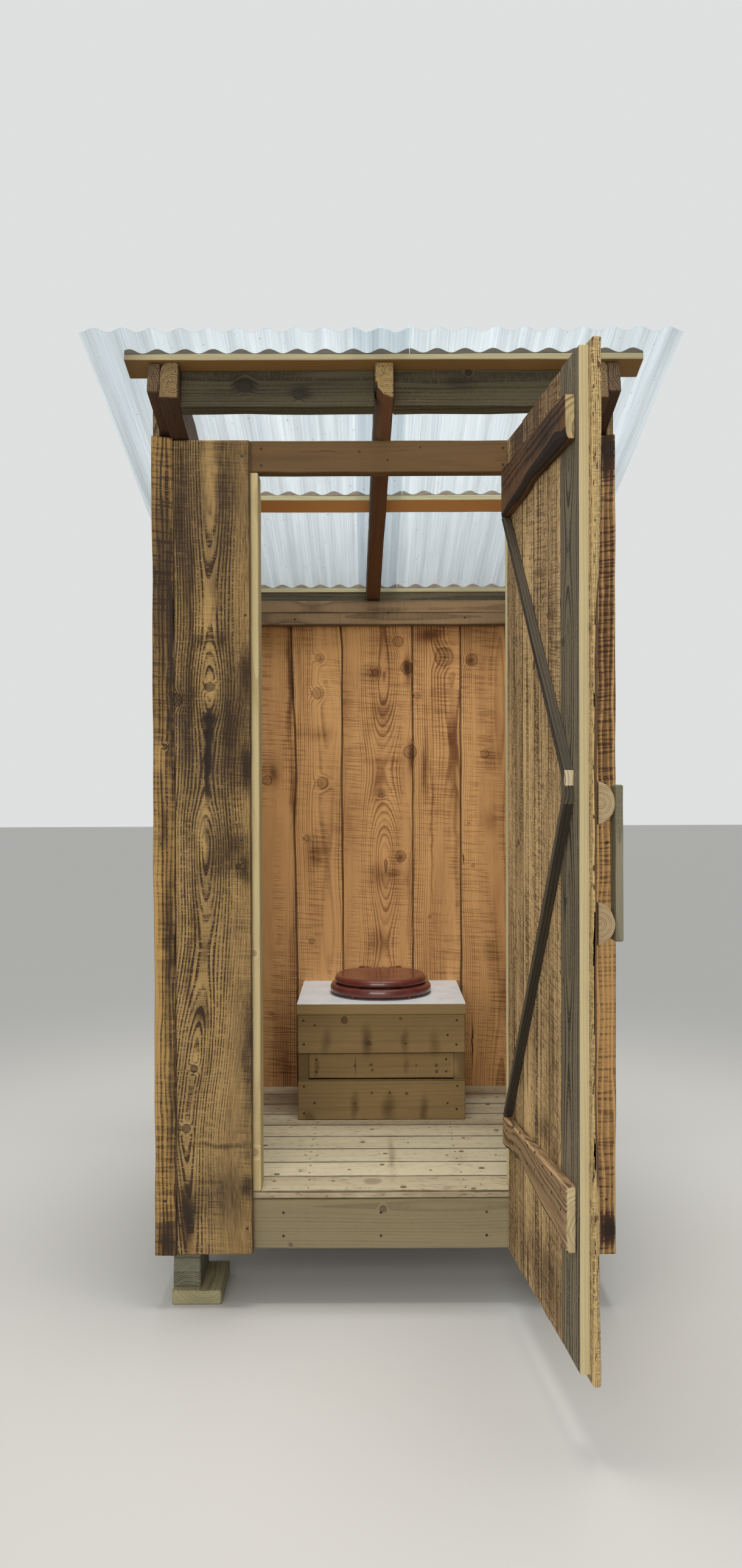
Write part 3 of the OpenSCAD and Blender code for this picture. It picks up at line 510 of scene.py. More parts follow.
UPPER_LEDGE_STAINS = [
    (-0.45, 2.23, 0.15, 0.16, -0.6), (-0.9, 2.33, 0.3, 0.2, 0.5), (-0.65, 2.28, 0.12, 0.1, 0.2)]
print(len(DECK_KNOTS), "knots in the floor")

# %% Wood material


def timber(name, dark, light, relief=0.0006, grey=(0.12, 0.11, 0.085), end=None, face=1, knots=(),
           stains_and_shade=(), plains=(), lit_underside=None, shaded=None, outside=None, **numbers):
    """A wood material: Timber's colour and height on a dull surface.

    With end, sawn ends have that colour. Knots, stain marks and plains are rows of marks on the face square
    to the axis face; some stain rows are painted shade or shadow. With an underside colour, faces that look
    down take painted light and shade: it runs from shaded on a board of tone 0 to that colour on one of
    tone 1, and the stain rows darken it. With outside, faces that look back from the building are dulled
    by that colour, because rain reaches them."""
    material, w, shader = plain_material(name, light, 0.7, Specular_IOR_Level=0.25)
    wood = w.node("ShaderNodeGroup", node_tree=bpy.data.node_groups["Timber"])
    if end:
        numbers |= {"End": (*end, 1), "Ends": 1.0}
    for title, value in {"Dark": (*dark, 1), "Light": (*light, 1), "Grey": (*grey, 1), **numbers}.items():
        wood.inputs[title.replace("_", " ")].default_value = value
    place = w.place()
    spots = {"Burn and Shade": 0.0}
    for title, rows, pace, sway in (("Knot", knots, 30, 0.006), ("Burn and Shade", stains_and_shade, 13, 0.030),
                                    ("Plain", plains, 9, 0.05)):
        if rows:
            drift = w.vector("SUBTRACT", w.noise(place, 3.0, scale=pace, out="Color"), (0.5, 0.5, 0.5))
            drift = w.vector("MULTIPLY_ADD", drift, (sway, sway, sway), place)
            spots[title] = chain(w, drift, marks(face, rows))
            w.put(wood.inputs[title], spots[title])
    colour, dullness, height = (Value(w, wood.outputs[title]) for title in ("Color", "Roughness", "Height"))
    # painted light and shade: faces that look down take a colour that stands for the light they get, from
    # shaded on a board of tone 0 to the lit colour on one of tone 1; stain rows darken it as painted shadow
    if lit_underside:
        shade = w.blend(w.attribute("tone"), (*shaded, 1), (*lit_underside, 1))
        shade = w.blend(0.85 * spots["Burn and Shade"], shade, SCORCH)
        colour = w.blend(w.between(w.facing(2), -0.3, -0.7), colour, w.blend(0.9, colour, shade))
    if outside:
        colour = w.blend(w.between(w.facing(1), 0.4, 0.8), colour, (*outside, 1), "MULTIPLY")
    w.put(shader.inputs["Base Color"], colour)
    w.put(shader.inputs["Roughness"], dullness)
    w.put(shader.inputs["Normal"], w.bump(height, relief, Strength=0.8))
    return material


# %% Woods of the walls
WOOD = {
    "front": timber(
        "rough front boards", (0.046, 0.022, 0.009), (0.47, 0.3, 0.113), 0.003, knots=FRONT_KNOTS,
        stains_and_shade=FRONT_STAINS, plains=FRONT_PLAINS, Ring_Width=0.0075, Grain=0.85, Fibre=1.2, Wave=0.005,
        Saw=0.3, Saw_Pitch=0.0038, Weather=0.15, Stain=1.2),
    "left strip": timber(
        "left corner strip", (0.038, 0.017, 0.007), (0.43, 0.26, 0.08), 0.002,
        knots=[(-0.621, 1.628, 0.006)], stains_and_shade=STRIP_STAINS, Ring_Width=0.012, Grain=0.6, Fibre=0.8,
        Wave=0.022, Saw=0.52, Saw_Pitch=0.009, Saw_Tilt=0.0, Saw_Gaps=0.6, Weather=0.1),
    "right strip": timber(
        "right corner strip", (0.068, 0.029, 0.014), (0.64, 0.375, 0.143), 0.002, stains_and_shade=OUTER_STAINS,
        Ring_Width=0.015, Grain=-0.9, Fibre=0.6, Wave=0.018, Saw=0.7, Saw_Pitch=0.0085, Saw_Tilt=0.0,
        Saw_Gaps=0.3, Weather=0.05),
    "side": timber(
        "rough side boards", (0.075, 0.04, 0.017), (0.4, 0.26, 0.12), 0.0015, Ring_Width=0.008,
        Grain=0.6, Fibre=0.7, Saw=0.5, Knots=0.8, Weather=0.3),
    "back": timber(
        "back boards", (0.19, 0.07, 0.022), (0.86, 0.475, 0.19), 0.006, knots=BACK_KNOTS,
        stains_and_shade=BACK_STAINS_AND_SHADOWS, plains=BACK_PLAINS, Ring_Width=0.007, Grain=0.4, Fibre=0.34, Saw=0.36,
        Saw_Pitch=0.0055, Heart=0.34, Weather=0.06, Stain=0.95, grey=(0.2, 0.11, 0.06),
        outside=(0.5, 0.6, 0.8)),
    "planed": timber(
        "planed studs", (0.42, 0.31, 0.145), (0.82, 0.735, 0.435), 0.0003, knots=STUD_KNOTS,
        Ring_Width=0.006, Grain=0.25, Fibre=0.3, Knots=0.3, Weather=0.05),
    "ripped": timber(
        "freshly ripped edge", (0.34, 0.26, 0.125), (0.64, 0.54, 0.32), 0.0003, Ring_Width=0.008,
        Grain=0.15, Fibre=0.3, Weather=0.05),
    "header": timber(
        "header", (0.058, 0.028, 0.01), (0.19, 0.105, 0.036), 0.0004, knots=HEADER_KNOTS,
        stains_and_shade=HEADER_STAINS, Ring_Width=0.006, Grain=0.13, Fibre=0.4, Weather=0.1),
    "plate": timber(
        "rear plates", (0.095, 0.055, 0.025), (0.35, 0.225, 0.115), 0.0006, Ring_Width=0.008, Grain=0.35,
        Fibre=0.4, Saw=0.2, Knots=0.4, Weather=0.15, Stain=0.7),
}
print(len(WOOD), "wood finishes")

# %% Woods of the roof, floor and bench
WOOD |= {
    "old": timber(
        "weathered roof timber", (0.008, 0.006, 0.003), (0.104, 0.081, 0.041), 0.0018,
        knots=BLOCKING_KNOTS, stains_and_shade=BLOCKING_STAINS, Ring_Width=0.008, Grain=0.35, Fibre=0.9, Heart=1.0,
        Weather=0.35, Stain=1.3, grey=(0.068, 0.062, 0.036)),
    # purlin faces that look down take painted light: dark on a purlin of low tone, bright orange on one of
    # tone 1
    "purlin": timber(
        "purlins", (0.22, 0.18, 0.095), (0.47, 0.43, 0.25), 0.0004, lit_underside=(0.95, 0.46, 0.15),
        shaded=(0.165, 0.078, 0.014), stains_and_shade=PURLIN_END_SHADE, Ring_Width=0.007, Grain=0.25, Fibre=0.3,
        Knots=0.7, Weather=0.1, grey=(0.22, 0.2, 0.13)),
    "floor": timber(
        "floor boards", (0.15, 0.088, 0.043), (0.67, 0.595, 0.41), 0.0006, face=2, knots=DECK_KNOTS,
        stains_and_shade=DECK_STAINS_AND_SHADE, Ring_Width=0.007, Grain=0.14, Fibre=0.3, Flecks=0.4, Knots=0.5, Heart=0.85,
        Weather=0.12, grey=(0.27, 0.23, 0.15)),
    "rim": timber(
        "rim board", (0.09, 0.06, 0.028), (0.28, 0.222, 0.122), 0.0004, knots=RIM_KNOTS,
        stains_and_shade=RIM_STAINS, Ring_Width=0.009, Grain=0.3, Fibre=0.5, Flecks=0.1, Weather=0.4, Stain=0.8,
        grey=(0.195, 0.175, 0.112)),
    "bench": timber(
        "bench boards", (0.074, 0.037, 0.012), (0.345, 0.234, 0.098), 0.0004, knots=BENCH_KNOTS,
        stains_and_shade=BENCH_STAINS, Ring_Width=0.014, Grain=0.09, Fibre=0.34, Weather=0.1,
        grey=(0.15, 0.125, 0.06)),
}
print(len(WOOD), "wood finishes")

# %% Woods of the door, rafters and feet
WOOD |= {
    "door": timber(
        "door boards", (0.08, 0.038, 0.014), (0.68, 0.46, 0.215), 0.0018, face=0, knots=DOOR_KNOTS,
        stains_and_shade=DOOR_STAINS_AND_SHADE, Ring_Width=0.013, Grain=0.6, Fibre=1.1, Saw=0.45, Saw_Pitch=0.005,
        Saw_Tilt=0.12, Flecks=0.8, Weather=0.08, Stain=1.2),
    "door grey": timber(
        "grey door board", (0.022, 0.018, 0.012), (0.215, 0.17, 0.105), 0.0016, face=0, knots=GREY_KNOTS,
        stains_and_shade=GREY_STAINS, Ring_Width=0.016, Grain=0.75, Fibre=0.7, Weather=0.35, Stain=0.8,
        grey=(0.132, 0.112, 0.076)),
    # rafter faces that look down take painted light and shade, darker on a rafter of lower tone
    "rafter": timber(
        "rough rafters", (0.026, 0.014, 0.007), (0.21, 0.125, 0.058), 0.0012, end=(0.27, 0.175, 0.062),
        lit_underside=(0.22, 0.095, 0.04), shaded=(0.045, 0.02, 0.009), Ring_Width=0.006, Grain=0.5, Fibre=0.6,
        Flecks=0.8, Knots=0.5, Weather=0.3, grey=(0.09, 0.07, 0.05)),
    "lap": timber(
        "bark edged lap board", (0.13, 0.07, 0.028), (0.6, 0.43, 0.19), 0.003, end=(0.5, 0.36, 0.17),
        Ring_Width=0.0035, Grain=0.8, Fibre=1.7, Saw=0.2, Flecks=2.0, Weather=0.05, Stain=0.9,
        Bark=(0.125, 0.058, 0.024, 1)),
    "low ledge": timber(
        "lower ledge", (0.08, 0.04, 0.019), (0.58, 0.375, 0.185), 0.0014, end=(0.62, 0.5, 0.28),
        Ring_Width=0.009, Grain=0.42, Fibre=0.7, Wave=0.012, Knots=0.8, Weather=0.1),
    "ledge": timber(
        "dark ledges", (0.01, 0.005, 0.003), (0.145, 0.066, 0.024), 0.0016, face=0,
        end=(0.5, 0.38, 0.19), stains_and_shade=UPPER_LEDGE_STAINS, Ring_Width=0.014, Grain=0.45, Fibre=0.6,
        Saw=0.3, Saw_Pitch=0.012, Knots=0.6, Weather=0.02, Bark=(0.014, 0.007, 0.004, 1)),
    # brace faces that look down take near-black painted shade
    "brace": timber(
        "dark braces", (0.015, 0.012, 0.008), (0.15, 0.116, 0.072), 0.0006, end=(0.6, 0.5, 0.33),
        lit_underside=(0.014, 0.011, 0.007), shaded=(0.014, 0.011, 0.007), Ring_Width=0.008, Grain=0.4,
        Fibre=0.6, Weather=0.3, grey=(0.08, 0.068, 0.052)),
    "block": timber(
        "grey foot blocks", (0.045, 0.04, 0.026), (0.25, 0.235, 0.165), 0.001, Ring_Width=0.005,
        Grain=0.6, Fibre=0.6, Knots=0.5, Weather=0.6, grey=(0.17, 0.165, 0.115)),
    "pad": timber(
        "pale foot pads", (0.11, 0.092, 0.046), (0.33, 0.29, 0.16), 0.0007, Ring_Width=0.006, Grain=0.5,
        Fibre=0.5, Knots=0.5, Weather=0.3, grey=(0.17, 0.155, 0.09)),
    "grip": timber(
        "grip bar", (0.11, 0.095, 0.055), (0.31, 0.27, 0.175), 0.0006, Ring_Width=0.006, Grain=0.4,
        Fibre=0.5, Knots=0.6, Weather=0.4, grey=(0.19, 0.18, 0.13)),
    "slice": timber(
        "log slices", (0.18, 0.105, 0.043), (0.41, 0.31, 0.178), 0.0006, Ring_Width=0.0042, Grain=0.8,
        Fibre=0.4, Weather=0.05, grey=(0.3, 0.22, 0.12)),
}
print(len(WOOD), "wood finishes")

# %% [markdown]
# ## Reading the CAD solids
# One CAD node can hold many boards. Its mesh is loose triangles, so equal points are merged first.
# Then every point takes the lowest number among the points it is joined to, again and again, until
# each closed solid has a number of its own. That gives the boards one by one, at their true places.

# %% Boards of a CAD node
X, Y, Z = np.eye(3)


def unit(vector):
    """A vector divided by its length, along the last axis."""
    return vector / np.linalg.norm(vector, axis=-1, keepdims=True)


def solids(node):
    """The points of each closed solid of a node, in the order of their middles in X, then Y and Z."""
    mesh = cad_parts[node].data
    place = np.empty(len(mesh.vertices) * 3, np.float32)
    mesh.vertices.foreach_get("co", place)
    corner = np.empty(len(mesh.loops), np.int32)
    mesh.loops.foreach_get("vertex_index", corner)
    points, same = np.unique(place.reshape(-1, 3).astype(float).round(5), axis=0, return_inverse=True)
    faces = same.ravel()[corner].reshape(-1, 3)
    label = np.arange(len(points))
    while True:
        low = label[faces].min(1)
        fresh = label.copy()
        np.minimum.at(fresh, faces.ravel(), low.repeat(3))
        if (fresh == label).all():
            break
        label = fresh
    found = [points[label == k] for k in np.unique(label)]
    return sorted(found, key=lambda p: tuple(((p.min(0) + p.max(0)) / 2).round(3)))


def corners(points, along, across):
    """Eight corners of a board as [end, across, deep], each the point that is farthest that way.

    Deep is the third direction, along x across. Notches and drilled holes are left out."""
    along, across = unit(np.asarray(along, float)), unit(np.asarray(across, float))
    axes = np.stack([along, across, np.cross(along, across)])
    seen = points @ axes.T
    seen = (seen - (seen.max(0) + seen.min(0)) / 2) / (seen.max(0) - seen.min(0))
    signs = np.array([[[(i, j, k) for k in (-1, 1)] for j in (-1, 1)] for i in (-1, 1)])
    return points[(seen @ signs.reshape(-1, 3).T).argmax(0)].reshape(2, 2, 2, 3)


print("floor boards in the CAD:", len(solids("deck_boards")))

# %% [markdown]
# ## A sawn board
# A board could be a cube with a bevel, but then all edges would be as straight as a ruler. Here the
# board is a surface of two numbers instead: t runs from end to end and q goes once round the
# section. The four long edges can wander by a millimetre, or by a centimetre where the sawyer left
# the bark on, and each corner has its own rounding that may change along the board.

# %% Board surface
ARC = np.linspace(0, math.pi / 2, 4)
SIDES = ((-1, -1, 2), (1, -1, 3), (1, 1, 0), (-1, 1, 1))  # signs of a corner, and its first quarter turn


def ripple(s, rng, low=0.8, high=9.0, waves=7):
    """A smooth random wave of height about 1: a sum of sines of s in metres, with mixed lengths."""
    turns = np.exp(rng.uniform(math.log(low), math.log(high), waves))
    return np.sin(2 * math.pi * (s[:, None] * turns + rng.random(waves))).sum(1) / math.sqrt(waves)


def tube_faces(rows, sides):
    """Quads of a closed tube of rows x sides points, and the two polygons that close its ends."""
    ring = np.arange(sides)
    row = np.arange(rows - 1)[:, None] * sides
    quads = np.stack([row + ring, row + (ring + 1) % sides, row + sides + (ring + 1) % sides,
                      row + sides + ring], -1).reshape(-1, 4).tolist()
    return quads + [ring[::-1].tolist(), (ring + (rows - 1) * sides).tolist()]


def plank(grid, seed, ease=0.002, rough=0.0006, step=0.07, wander=None, wane=None, pith=None, tone=None,
          dirt=0.0, barky=1.0):
    """A board between eight corners.

    Its point (t, q) is (1-a)(1-b) E0 + a(1-b) E1 + ab E2 + (1-a)b E3. E0 to E3 are the long edges
    at t, each a straight line plus a small wave across and deep. (a, b) goes round a unit square
    whose corners are cut by quarter ellipses: the easing, plus the wane of that corner.
    wander {corner: f(t) -> across, deep} moves an edge; wane {corner: f(t) -> across, deep} cuts it. The
    pith is two numbers, across and deep from the board's middle, or a function of t that gives them.
    The seam-soiling argument darkens the rounded edges: soil and painted shade of the seams.
    barky says how much bark the wanes keep: a number or a function of t."""
    rng = np.random.default_rng(seed)
    middle = grid.mean((1, 2))
    length = np.linalg.norm(middle[1] - middle[0])
    t = np.r_[0, np.linspace(ease / length, 1 - ease / length, max(int(length / step), 2)), 1]
    s = t * length
    order = [((sx + 1) // 2, (sy + 1) // 2) for sx, sy, _ in SIDES]
    lines = np.stack([grid[0][j, k] + t[:, None] * (grid[1][j, k] - grid[0][j, k]) for j, k in order], 1)
    across = unit(lines[:, 1] - lines[:, 0] + lines[:, 2] - lines[:, 3])
    deep = unit(lines[:, 3] - lines[:, 0] + lines[:, 2] - lines[:, 1])
    for c in range(4):
        move_x, move_y = rough * ripple(s, rng), 0.4 * rough * ripple(s, rng)
        if wander and c in wander:
            extra = wander[c](t)
            move_x, move_y = move_x + extra[0], move_y + extra[1]
        lines[:, c] += across * move_x[:, None] + deep * move_y[:, None]
    wide = np.linalg.norm(lines[:, 1] - lines[:, 0] + lines[:, 2] - lines[:, 3], axis=1) / 2
    thick = np.linalg.norm(lines[:, 3] - lines[:, 0] + lines[:, 2] - lines[:, 1], axis=1) / 2
    x, y, bark = [], [], []
    for c, (sx, sy, turn) in enumerate(SIDES):
        cut = wane[c](t) if wane and c in wane else (0 * t, 0 * t)
        rx = np.minimum(ease + cut[0], wide * 0.98)[:, None]
        ry = np.minimum(ease + cut[1], thick * 0.98)[:, None]
        angle = ARC + turn * math.pi / 2
        x.append(sx * (wide[:, None] / 2 - rx) + rx * np.cos(angle))
        y.append(sy * (thick[:, None] / 2 - ry) + ry * np.sin(angle))
        bark.append(np.clip(np.maximum(rx, ry) / 0.008 - 0.5, 0, 1) * np.array([0.25, 1, 1, 0.25]))
    x, y, bark = (np.concatenate(v, 1) for v in (x, y, bark))
    bark = bark * np.reshape(barky(t) if callable(barky) else barky, (-1, 1))
    x[[0, -1]] *= 1 - 1.6 * ease / wide[[0, -1], None]
    y[[0, -1]] *= 1 - 1.6 * ease / thick[[0, -1], None]
    a, b = (0.5 + x / wide[:, None])[..., None], (0.5 + y / thick[:, None])[..., None]
    e = lines[:, :, None]
    points = (1 - a) * (1 - b) * e[:, 0] + a * (1 - b) * e[:, 1] + a * b * e[:, 2] + (1 - a) * b * e[:, 3]
    if pith is None:
        pith = (rng.uniform(-0.4, 0.4) * wide.mean(), rng.choice([-1, 1]) * rng.uniform(0.02, 0.09))
    heart = [np.reshape(p, (-1, 1)) for p in (pith(t) if callable(pith) else pith)]
    reach = np.broadcast_to(s[:, None], x.shape) + rng.uniform(0, 60)
    grain = np.stack([reach, x - heart[0], y - heart[1]], -1)
    shade = rng.random() if tone is None else tone
    rounded = np.r_[np.tile(np.arange(x.shape[1]) % 4 != 3, len(t) - 1), False, False]
    return {"points": points.reshape(-1, 3), "faces": tube_faces(len(t), x.shape[1]), "dirt": dirt * rounded,
            "grain": grain.reshape(-1, 3), "bark": bark.ravel(), "tone": np.full(bark.size, shade), "caps": 2}


# %% [markdown]
# ## From arrays to a piece
# A piece is one mesh made of such parts. It gets the attributes that its finish reads, rides on the
# body it belongs to, and stands for the CAD nodes that it covers.

# %% Piece helper
STAND_INS = {"grain": lambda p: p["points"], "tone": lambda p: np.full(len(p["points"]), 0.5)}


def piece(name, parts, material, body, slot, hides=(), smooth=False):
    """One object from parts, which are dicts of points and faces, with grain, bark and tone if wanted.

    Sawn ends are the last faces of a part, as many as its caps, and pale says how much of their own colour
    they show."""
    points = np.clip(np.concatenate([p["points"] for p in parts]), cad_low, cad_high)
    starts = np.cumsum([0] + [len(p["points"]) for p in parts])
    faces = [[i + first for i in face] for p, first in zip(parts, starts) for face in p["faces"]]
    mesh = bpy.data.meshes.new(name)
    mesh.from_pydata(points.tolist(), [], faces)
    for title, kind, field in (("grain", "FLOAT_VECTOR", "vector"), ("tone", "FLOAT", "value")):
        values = np.concatenate([p.get(title, STAND_INS[title](p)) for p in parts])
        mesh.attributes.new(title, kind, "POINT").data.foreach_set(field, values.ravel().astype(np.float32))
    is_end = [k >= len(p["faces"]) - p.get("caps", 0) for p in parts for k in range(len(p["faces"]))]
    corner_counts = [len(face) for face in faces]
    is_end = np.repeat(is_end, corner_counts)
    dirt = np.repeat(np.concatenate([p.get("dirt", np.zeros(len(p["faces"]))) for p in parts]), corner_counts)
    bark = np.concatenate([p.get("bark", np.zeros(len(p["points"]))) for p in parts])[np.concatenate(faces)]
    pale = np.repeat([p.get("pale", 1.0) for p in parts], [sum(map(len, p["faces"])) for p in parts])
    for title, values in (("bark", bark * ~is_end), ("dirt", dirt), ("cut", pale * is_end)):
        mesh.attributes.new(title, "FLOAT", "CORNER").data.foreach_set("value", values.astype(np.float32))
    mesh.polygons.foreach_set("use_smooth", [smooth] * len(mesh.polygons))
    if smooth:
        mesh.set_sharp_from_angle(angle=math.radians(40))
    mesh.materials.append(material)
    mesh.update()
    made = bpy.data.objects.new(name, mesh)
    bpy.context.scene.collection.objects.link(made)
    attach(made, body)
    if hides:
        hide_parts(*hides)
    print(f"{name}: {len(parts)} parts, {len(faces)} faces")


# %% [markdown]
# ## Round heads and pins
# Nail heads, screws, rubber feet and hinge pins are all turned shapes: a stack of circles on one axis,
# like work from a lathe. One function makes a whole row of them.

# %% Turned shapes


def turned(spots, out, rings, sides=10):
    """A turned shape at each spot. Ring k is a circle of radius rings[k][0], rings[k][1] along out."""
    out = unit(np.asarray(out, float))
    side = unit(np.cross(out, Z if abs(out[2]) < 0.9 else X))
    turn = np.linspace(0, 2 * math.pi, sides + 1)[:-1]
    circle = np.cos(turn)[:, None] * side + np.sin(turn)[:, None] * np.cross(out, side)
    radius, rise = np.array(rings).T[:, :, None, None]
    shape = (radius * circle + rise * out).reshape(-1, 3)
    faces = tube_faces(len(rings), sides)
    return [{"points": shape + spot, "faces": faces} for spot in np.asarray(spots, float)]


# %% [markdown]
# ## The plain boards
# Most of the building is plain sawn stuff. One table says for each CAD node which way its boards
# run and how wide they lie, and one loop makes them all. The roof timbers lie along a slope, so
# they use the slope's own directions.

# %% Directions of the roof and of the open door
ROOF_ANGLE = math.radians(14.75)
DOOR_ANGLE = math.radians(96)
DOWN_ROOF = np.array([0, math.cos(ROOF_ANGLE), -math.sin(ROOF_ANGLE)])
OFF_ROOF = np.array([0, math.sin(ROOF_ANGLE), math.cos(ROOF_ANGLE)])
ALONG_DOOR = np.array([-math.cos(DOOR_ANGLE), -math.sin(DOOR_ANGLE), 0])
OUT_OF_DOOR = np.array([math.sin(DOOR_ANGLE), -math.cos(DOOR_ANGLE), 0])

# %% Boards table
BOARDS = {  # node: (along, across, wood, slot, easing, roughness of the edges, dirt and painted shade in the seams, tones)
    "pads": (Y, X, "pad", "planed_wood", 0.004, 0.0012, 0.3, ()),
    "blocks_low": (Y, X, "block", "grey_block_wood", 0.003, 0.0010, 0.3, ()),
    "blocks_mid": (Y, X, "block", "grey_block_wood", 0.003, 0.0010, 0.3, ()),
    "blocks_high": (Y, X, "block", "grey_block_wood", 0.003, 0.0010, 0.3, ()),
    "rim_boards": (X, Z, "rim", "floor_wood", 0.003, 0.0006, 0.2, ()),
    "side_rims": (Y, Z, "rim", "floor_wood", 0.003, 0.0006, 0.2, ()),
    "joists": (Y, Z, "rim", "floor_wood", 0.003, 0.0006, 0.0, ()),
    "deck_boards": (X, Y, "floor", "floor_wood", 0.0040, 0.0006, 0.85,
                    (0.30, 0.25, 0.50, 0.95, 0.90, 0.70, 0.60, 0.42, 0.15, 0.30, 0.25)),
    "front_studs": (Z, X, "planed", "planed_wood", 0.003, 0.0004, 0.2, ()),
    "rear_studs": (Z, X, "planed", "planed_wood", 0.003, 0.0004, 0.0, ()),
    "header": (X, Z, "header", "plate_wood", 0.003, 0.0006, 0.2, (0.5,)),
    "rear_plate_low": (X, Z, "plate", "plate_wood", 0.003, 0.0006, 0.5, (0.45,)),
    "rear_plate_high": (X, Z, "plate", "plate_wood", 0.003, 0.0006, 0.5, (0.65,)),
    "side_girts": (Y, Z, "planed", "planed_wood", 0.003, 0.0004, 0.0, ()),
    # the side rails' low tones make the painted shade on their faces that look down dark
    "side_rails": (DOWN_ROOF, OFF_ROOF, "rafter", "rough_grey_wood", 0.003, 0.0010, 0.0, (0.1, 0.1)),
    "blocking_front": (X, OFF_ROOF, "old", "rough_grey_wood", 0.003, 0.0014, 0.0, (0.4, 0.6)),
    "blocking_rear": (X, OFF_ROOF, "old", "rough_grey_wood", 0.003, 0.0014, 0.0, (0.4, 0.6)),
    # the purlins' tones set their painted underside light: nearly dark on the front one, bright on the middle
    # one
    "purlins": (X, DOWN_ROOF, "purlin", "purlin_wood", 0.002, 0.0008, 0.0, (0.06, 1.0, 0.6)),
    # the low tones of the bench posts are painted shade
    "bench_posts": (Z, X, "bench", "planed_wood", 0.002, 0.0004, 0.3, (0.1, 0.1, 0.1, 0.1)),
    "bench_front_boards": (X, Z, "bench", "bench_board", 0.0025, 0.0005, 0.8, (0.42, 0.50, 0.56)),
    "bench_side_boards": (Y, Z, "bench", "bench_board", 0.0025, 0.0005, 0.5, ()),
}
for number, (node, (run, lie, wood, finish, ease, rough, dirt, tones)) in enumerate(BOARDS.items()):
    parts = [plank(corners(points, run, lie), 100 * number + k, ease, rough, dirt=dirt,
                   tone=tones[k] if tones else None) | {"pale": node != "side_rails"}
             for k, points in enumerate(solids(node))]
    piece("dressed_" + node, parts, WOOD[wood], "building", finish, [node])

# %% [markdown]
# ## Walls of boards side by side
# The wall boards are upright and each was laid against the edge of the one before. A crooked edge
# was simply followed by the next board, so the joint is one wavy line that both boards share. To
# keep daylight out, the two edges are first moved to the middle of their gap.

# %% Wall boards


def side_by_side(grids, seed, measured=(), wave=0.0012):
    """Edge waves for a row of boards: joint k is one curve of t, a small ripple plus measured[k](t)."""
    wanders = [{} for _ in grids]
    for k, (one, other) in enumerate(zip(grids[:-1], grids[1:])):
        middle = (one[:, 1] + other[:, 0]) / 2
        one[:, 1], other[:, 0] = middle, middle
        own = dict(measured).get(k)

        def joint(t, k=k, own=own):
            line = wave * ripple(2.0 * t, np.random.default_rng(seed + k), 0.7, 7)
            return (line if own is None else 0.5 * line + own(t)), 0 * t
        wanders[k] |= {1: joint, 2: joint}
        wanders[k + 1] |= {0: joint, 3: joint}
    return wanders


def through(x, *places, foot=0.164, top=2.192, soft=8):
    """The line through places (height, x), as a smooth shift from x over t from foot to top of a wall."""
    heights, shifts = np.array(sorted(places)).T
    dense = np.interp(np.linspace(foot, top, 200), heights, shifts - x)
    window = np.hanning(2 * soft + 1)
    dense = np.convolve(np.pad(dense, soft, "edge"), window / window.sum(), "valid")
    return lambda t: np.interp(foot + t * (top - foot), np.linspace(foot, top, 200), dense)


BACK_JOINTS = {
    1: through(-0.3245, (2.113, -0.336), (1.879, -0.330), (1.715, -0.321), (1.503, -0.317), (1.386, -0.327),
               (1.10, -0.321), (0.797, -0.3155)),
    2: through(-0.1425, (2.113, -0.149), (2.066, -0.137), (1.902, -0.141), (1.714, -0.139), (1.503, -0.1425),
               (1.009, -0.139)),
}


def flames(middle, lean, depth, swing, seed):
    """A pith from middle to middle + lean over t, at a depth that swings and so draws flames."""
    return lambda t: (middle + lean * t + 0.006 * ripple(2.2 * t, np.random.default_rng(seed), 0.4, 1.2, 4),
                      depth + swing * ripple(2.2 * t, np.random.default_rng(seed + 1), 0.5, 2.2, 5))


FRONT_TOP = 2.506
heart_x = through(-0.486, (2.5, -0.489), (1.80, -0.492), (1.44, -0.508), (1.14, -0.504), (0.887, -0.523),
                  (0.70, -0.543), (0.53, -0.567), (0.17, -0.55), top=FRONT_TOP)
HEART_DEPTHS = (  # height in metres, depth of the pith behind the face in millimetres
    (2.506, 12), (2.30, 20), (2.20, 27), (2.11, 35), (2.02, 37), (1.92, 31), (1.87, 20), (1.79, 5),
    (1.74, 14), (1.70, 23), (1.66, 31), (1.56, 35), (1.48, 31), (1.447, 24), (1.40, 13), (1.351, 5),
    (1.30, 10), (1.21, 18), (1.14, 27), (1.05, 33), (0.95, 31), (0.887, 24), (0.80, 12), (0.70, 5),
    (0.62, 13), (0.529, 8), (0.44, 20), (0.30, 28), (0.17, 34))
heart_depth = through(0.0125, *((z, d / 1000) for z, d in HEART_DEPTHS), top=FRONT_TOP, soft=3)
PITHS = {
    "back_boards": {3: flames(0.020, 0.010, 0.034, 0.020, 60), 2: flames(0.03, 0.0, -0.08, 0.004, 62),
                    4: flames(0.05, 0.02, 0.06, 0.004, 64), 5: flames(0.06, 0.0, -0.07, 0.005, 66)},
    "front_boards": {0: lambda t: (heart_x(t), heart_depth(t)), 1: flames(0.03, -0.02, 0.052, 0.006, 72)}}
WALLS = {  # node: (across, wood, slot, tones)
    "front_boards": (X, "front", "brown_board", (0.36, 0.5)),
    "left_boards": (Y, "side", "brown_board", ()),
    "right_boards": (Y, "side", "brown_board", ()),
    "back_boards": (X, "back", "back_board", (0.6, 0.68, 0.84, 0.60, 0.52, 0.66, 0.5)),
}
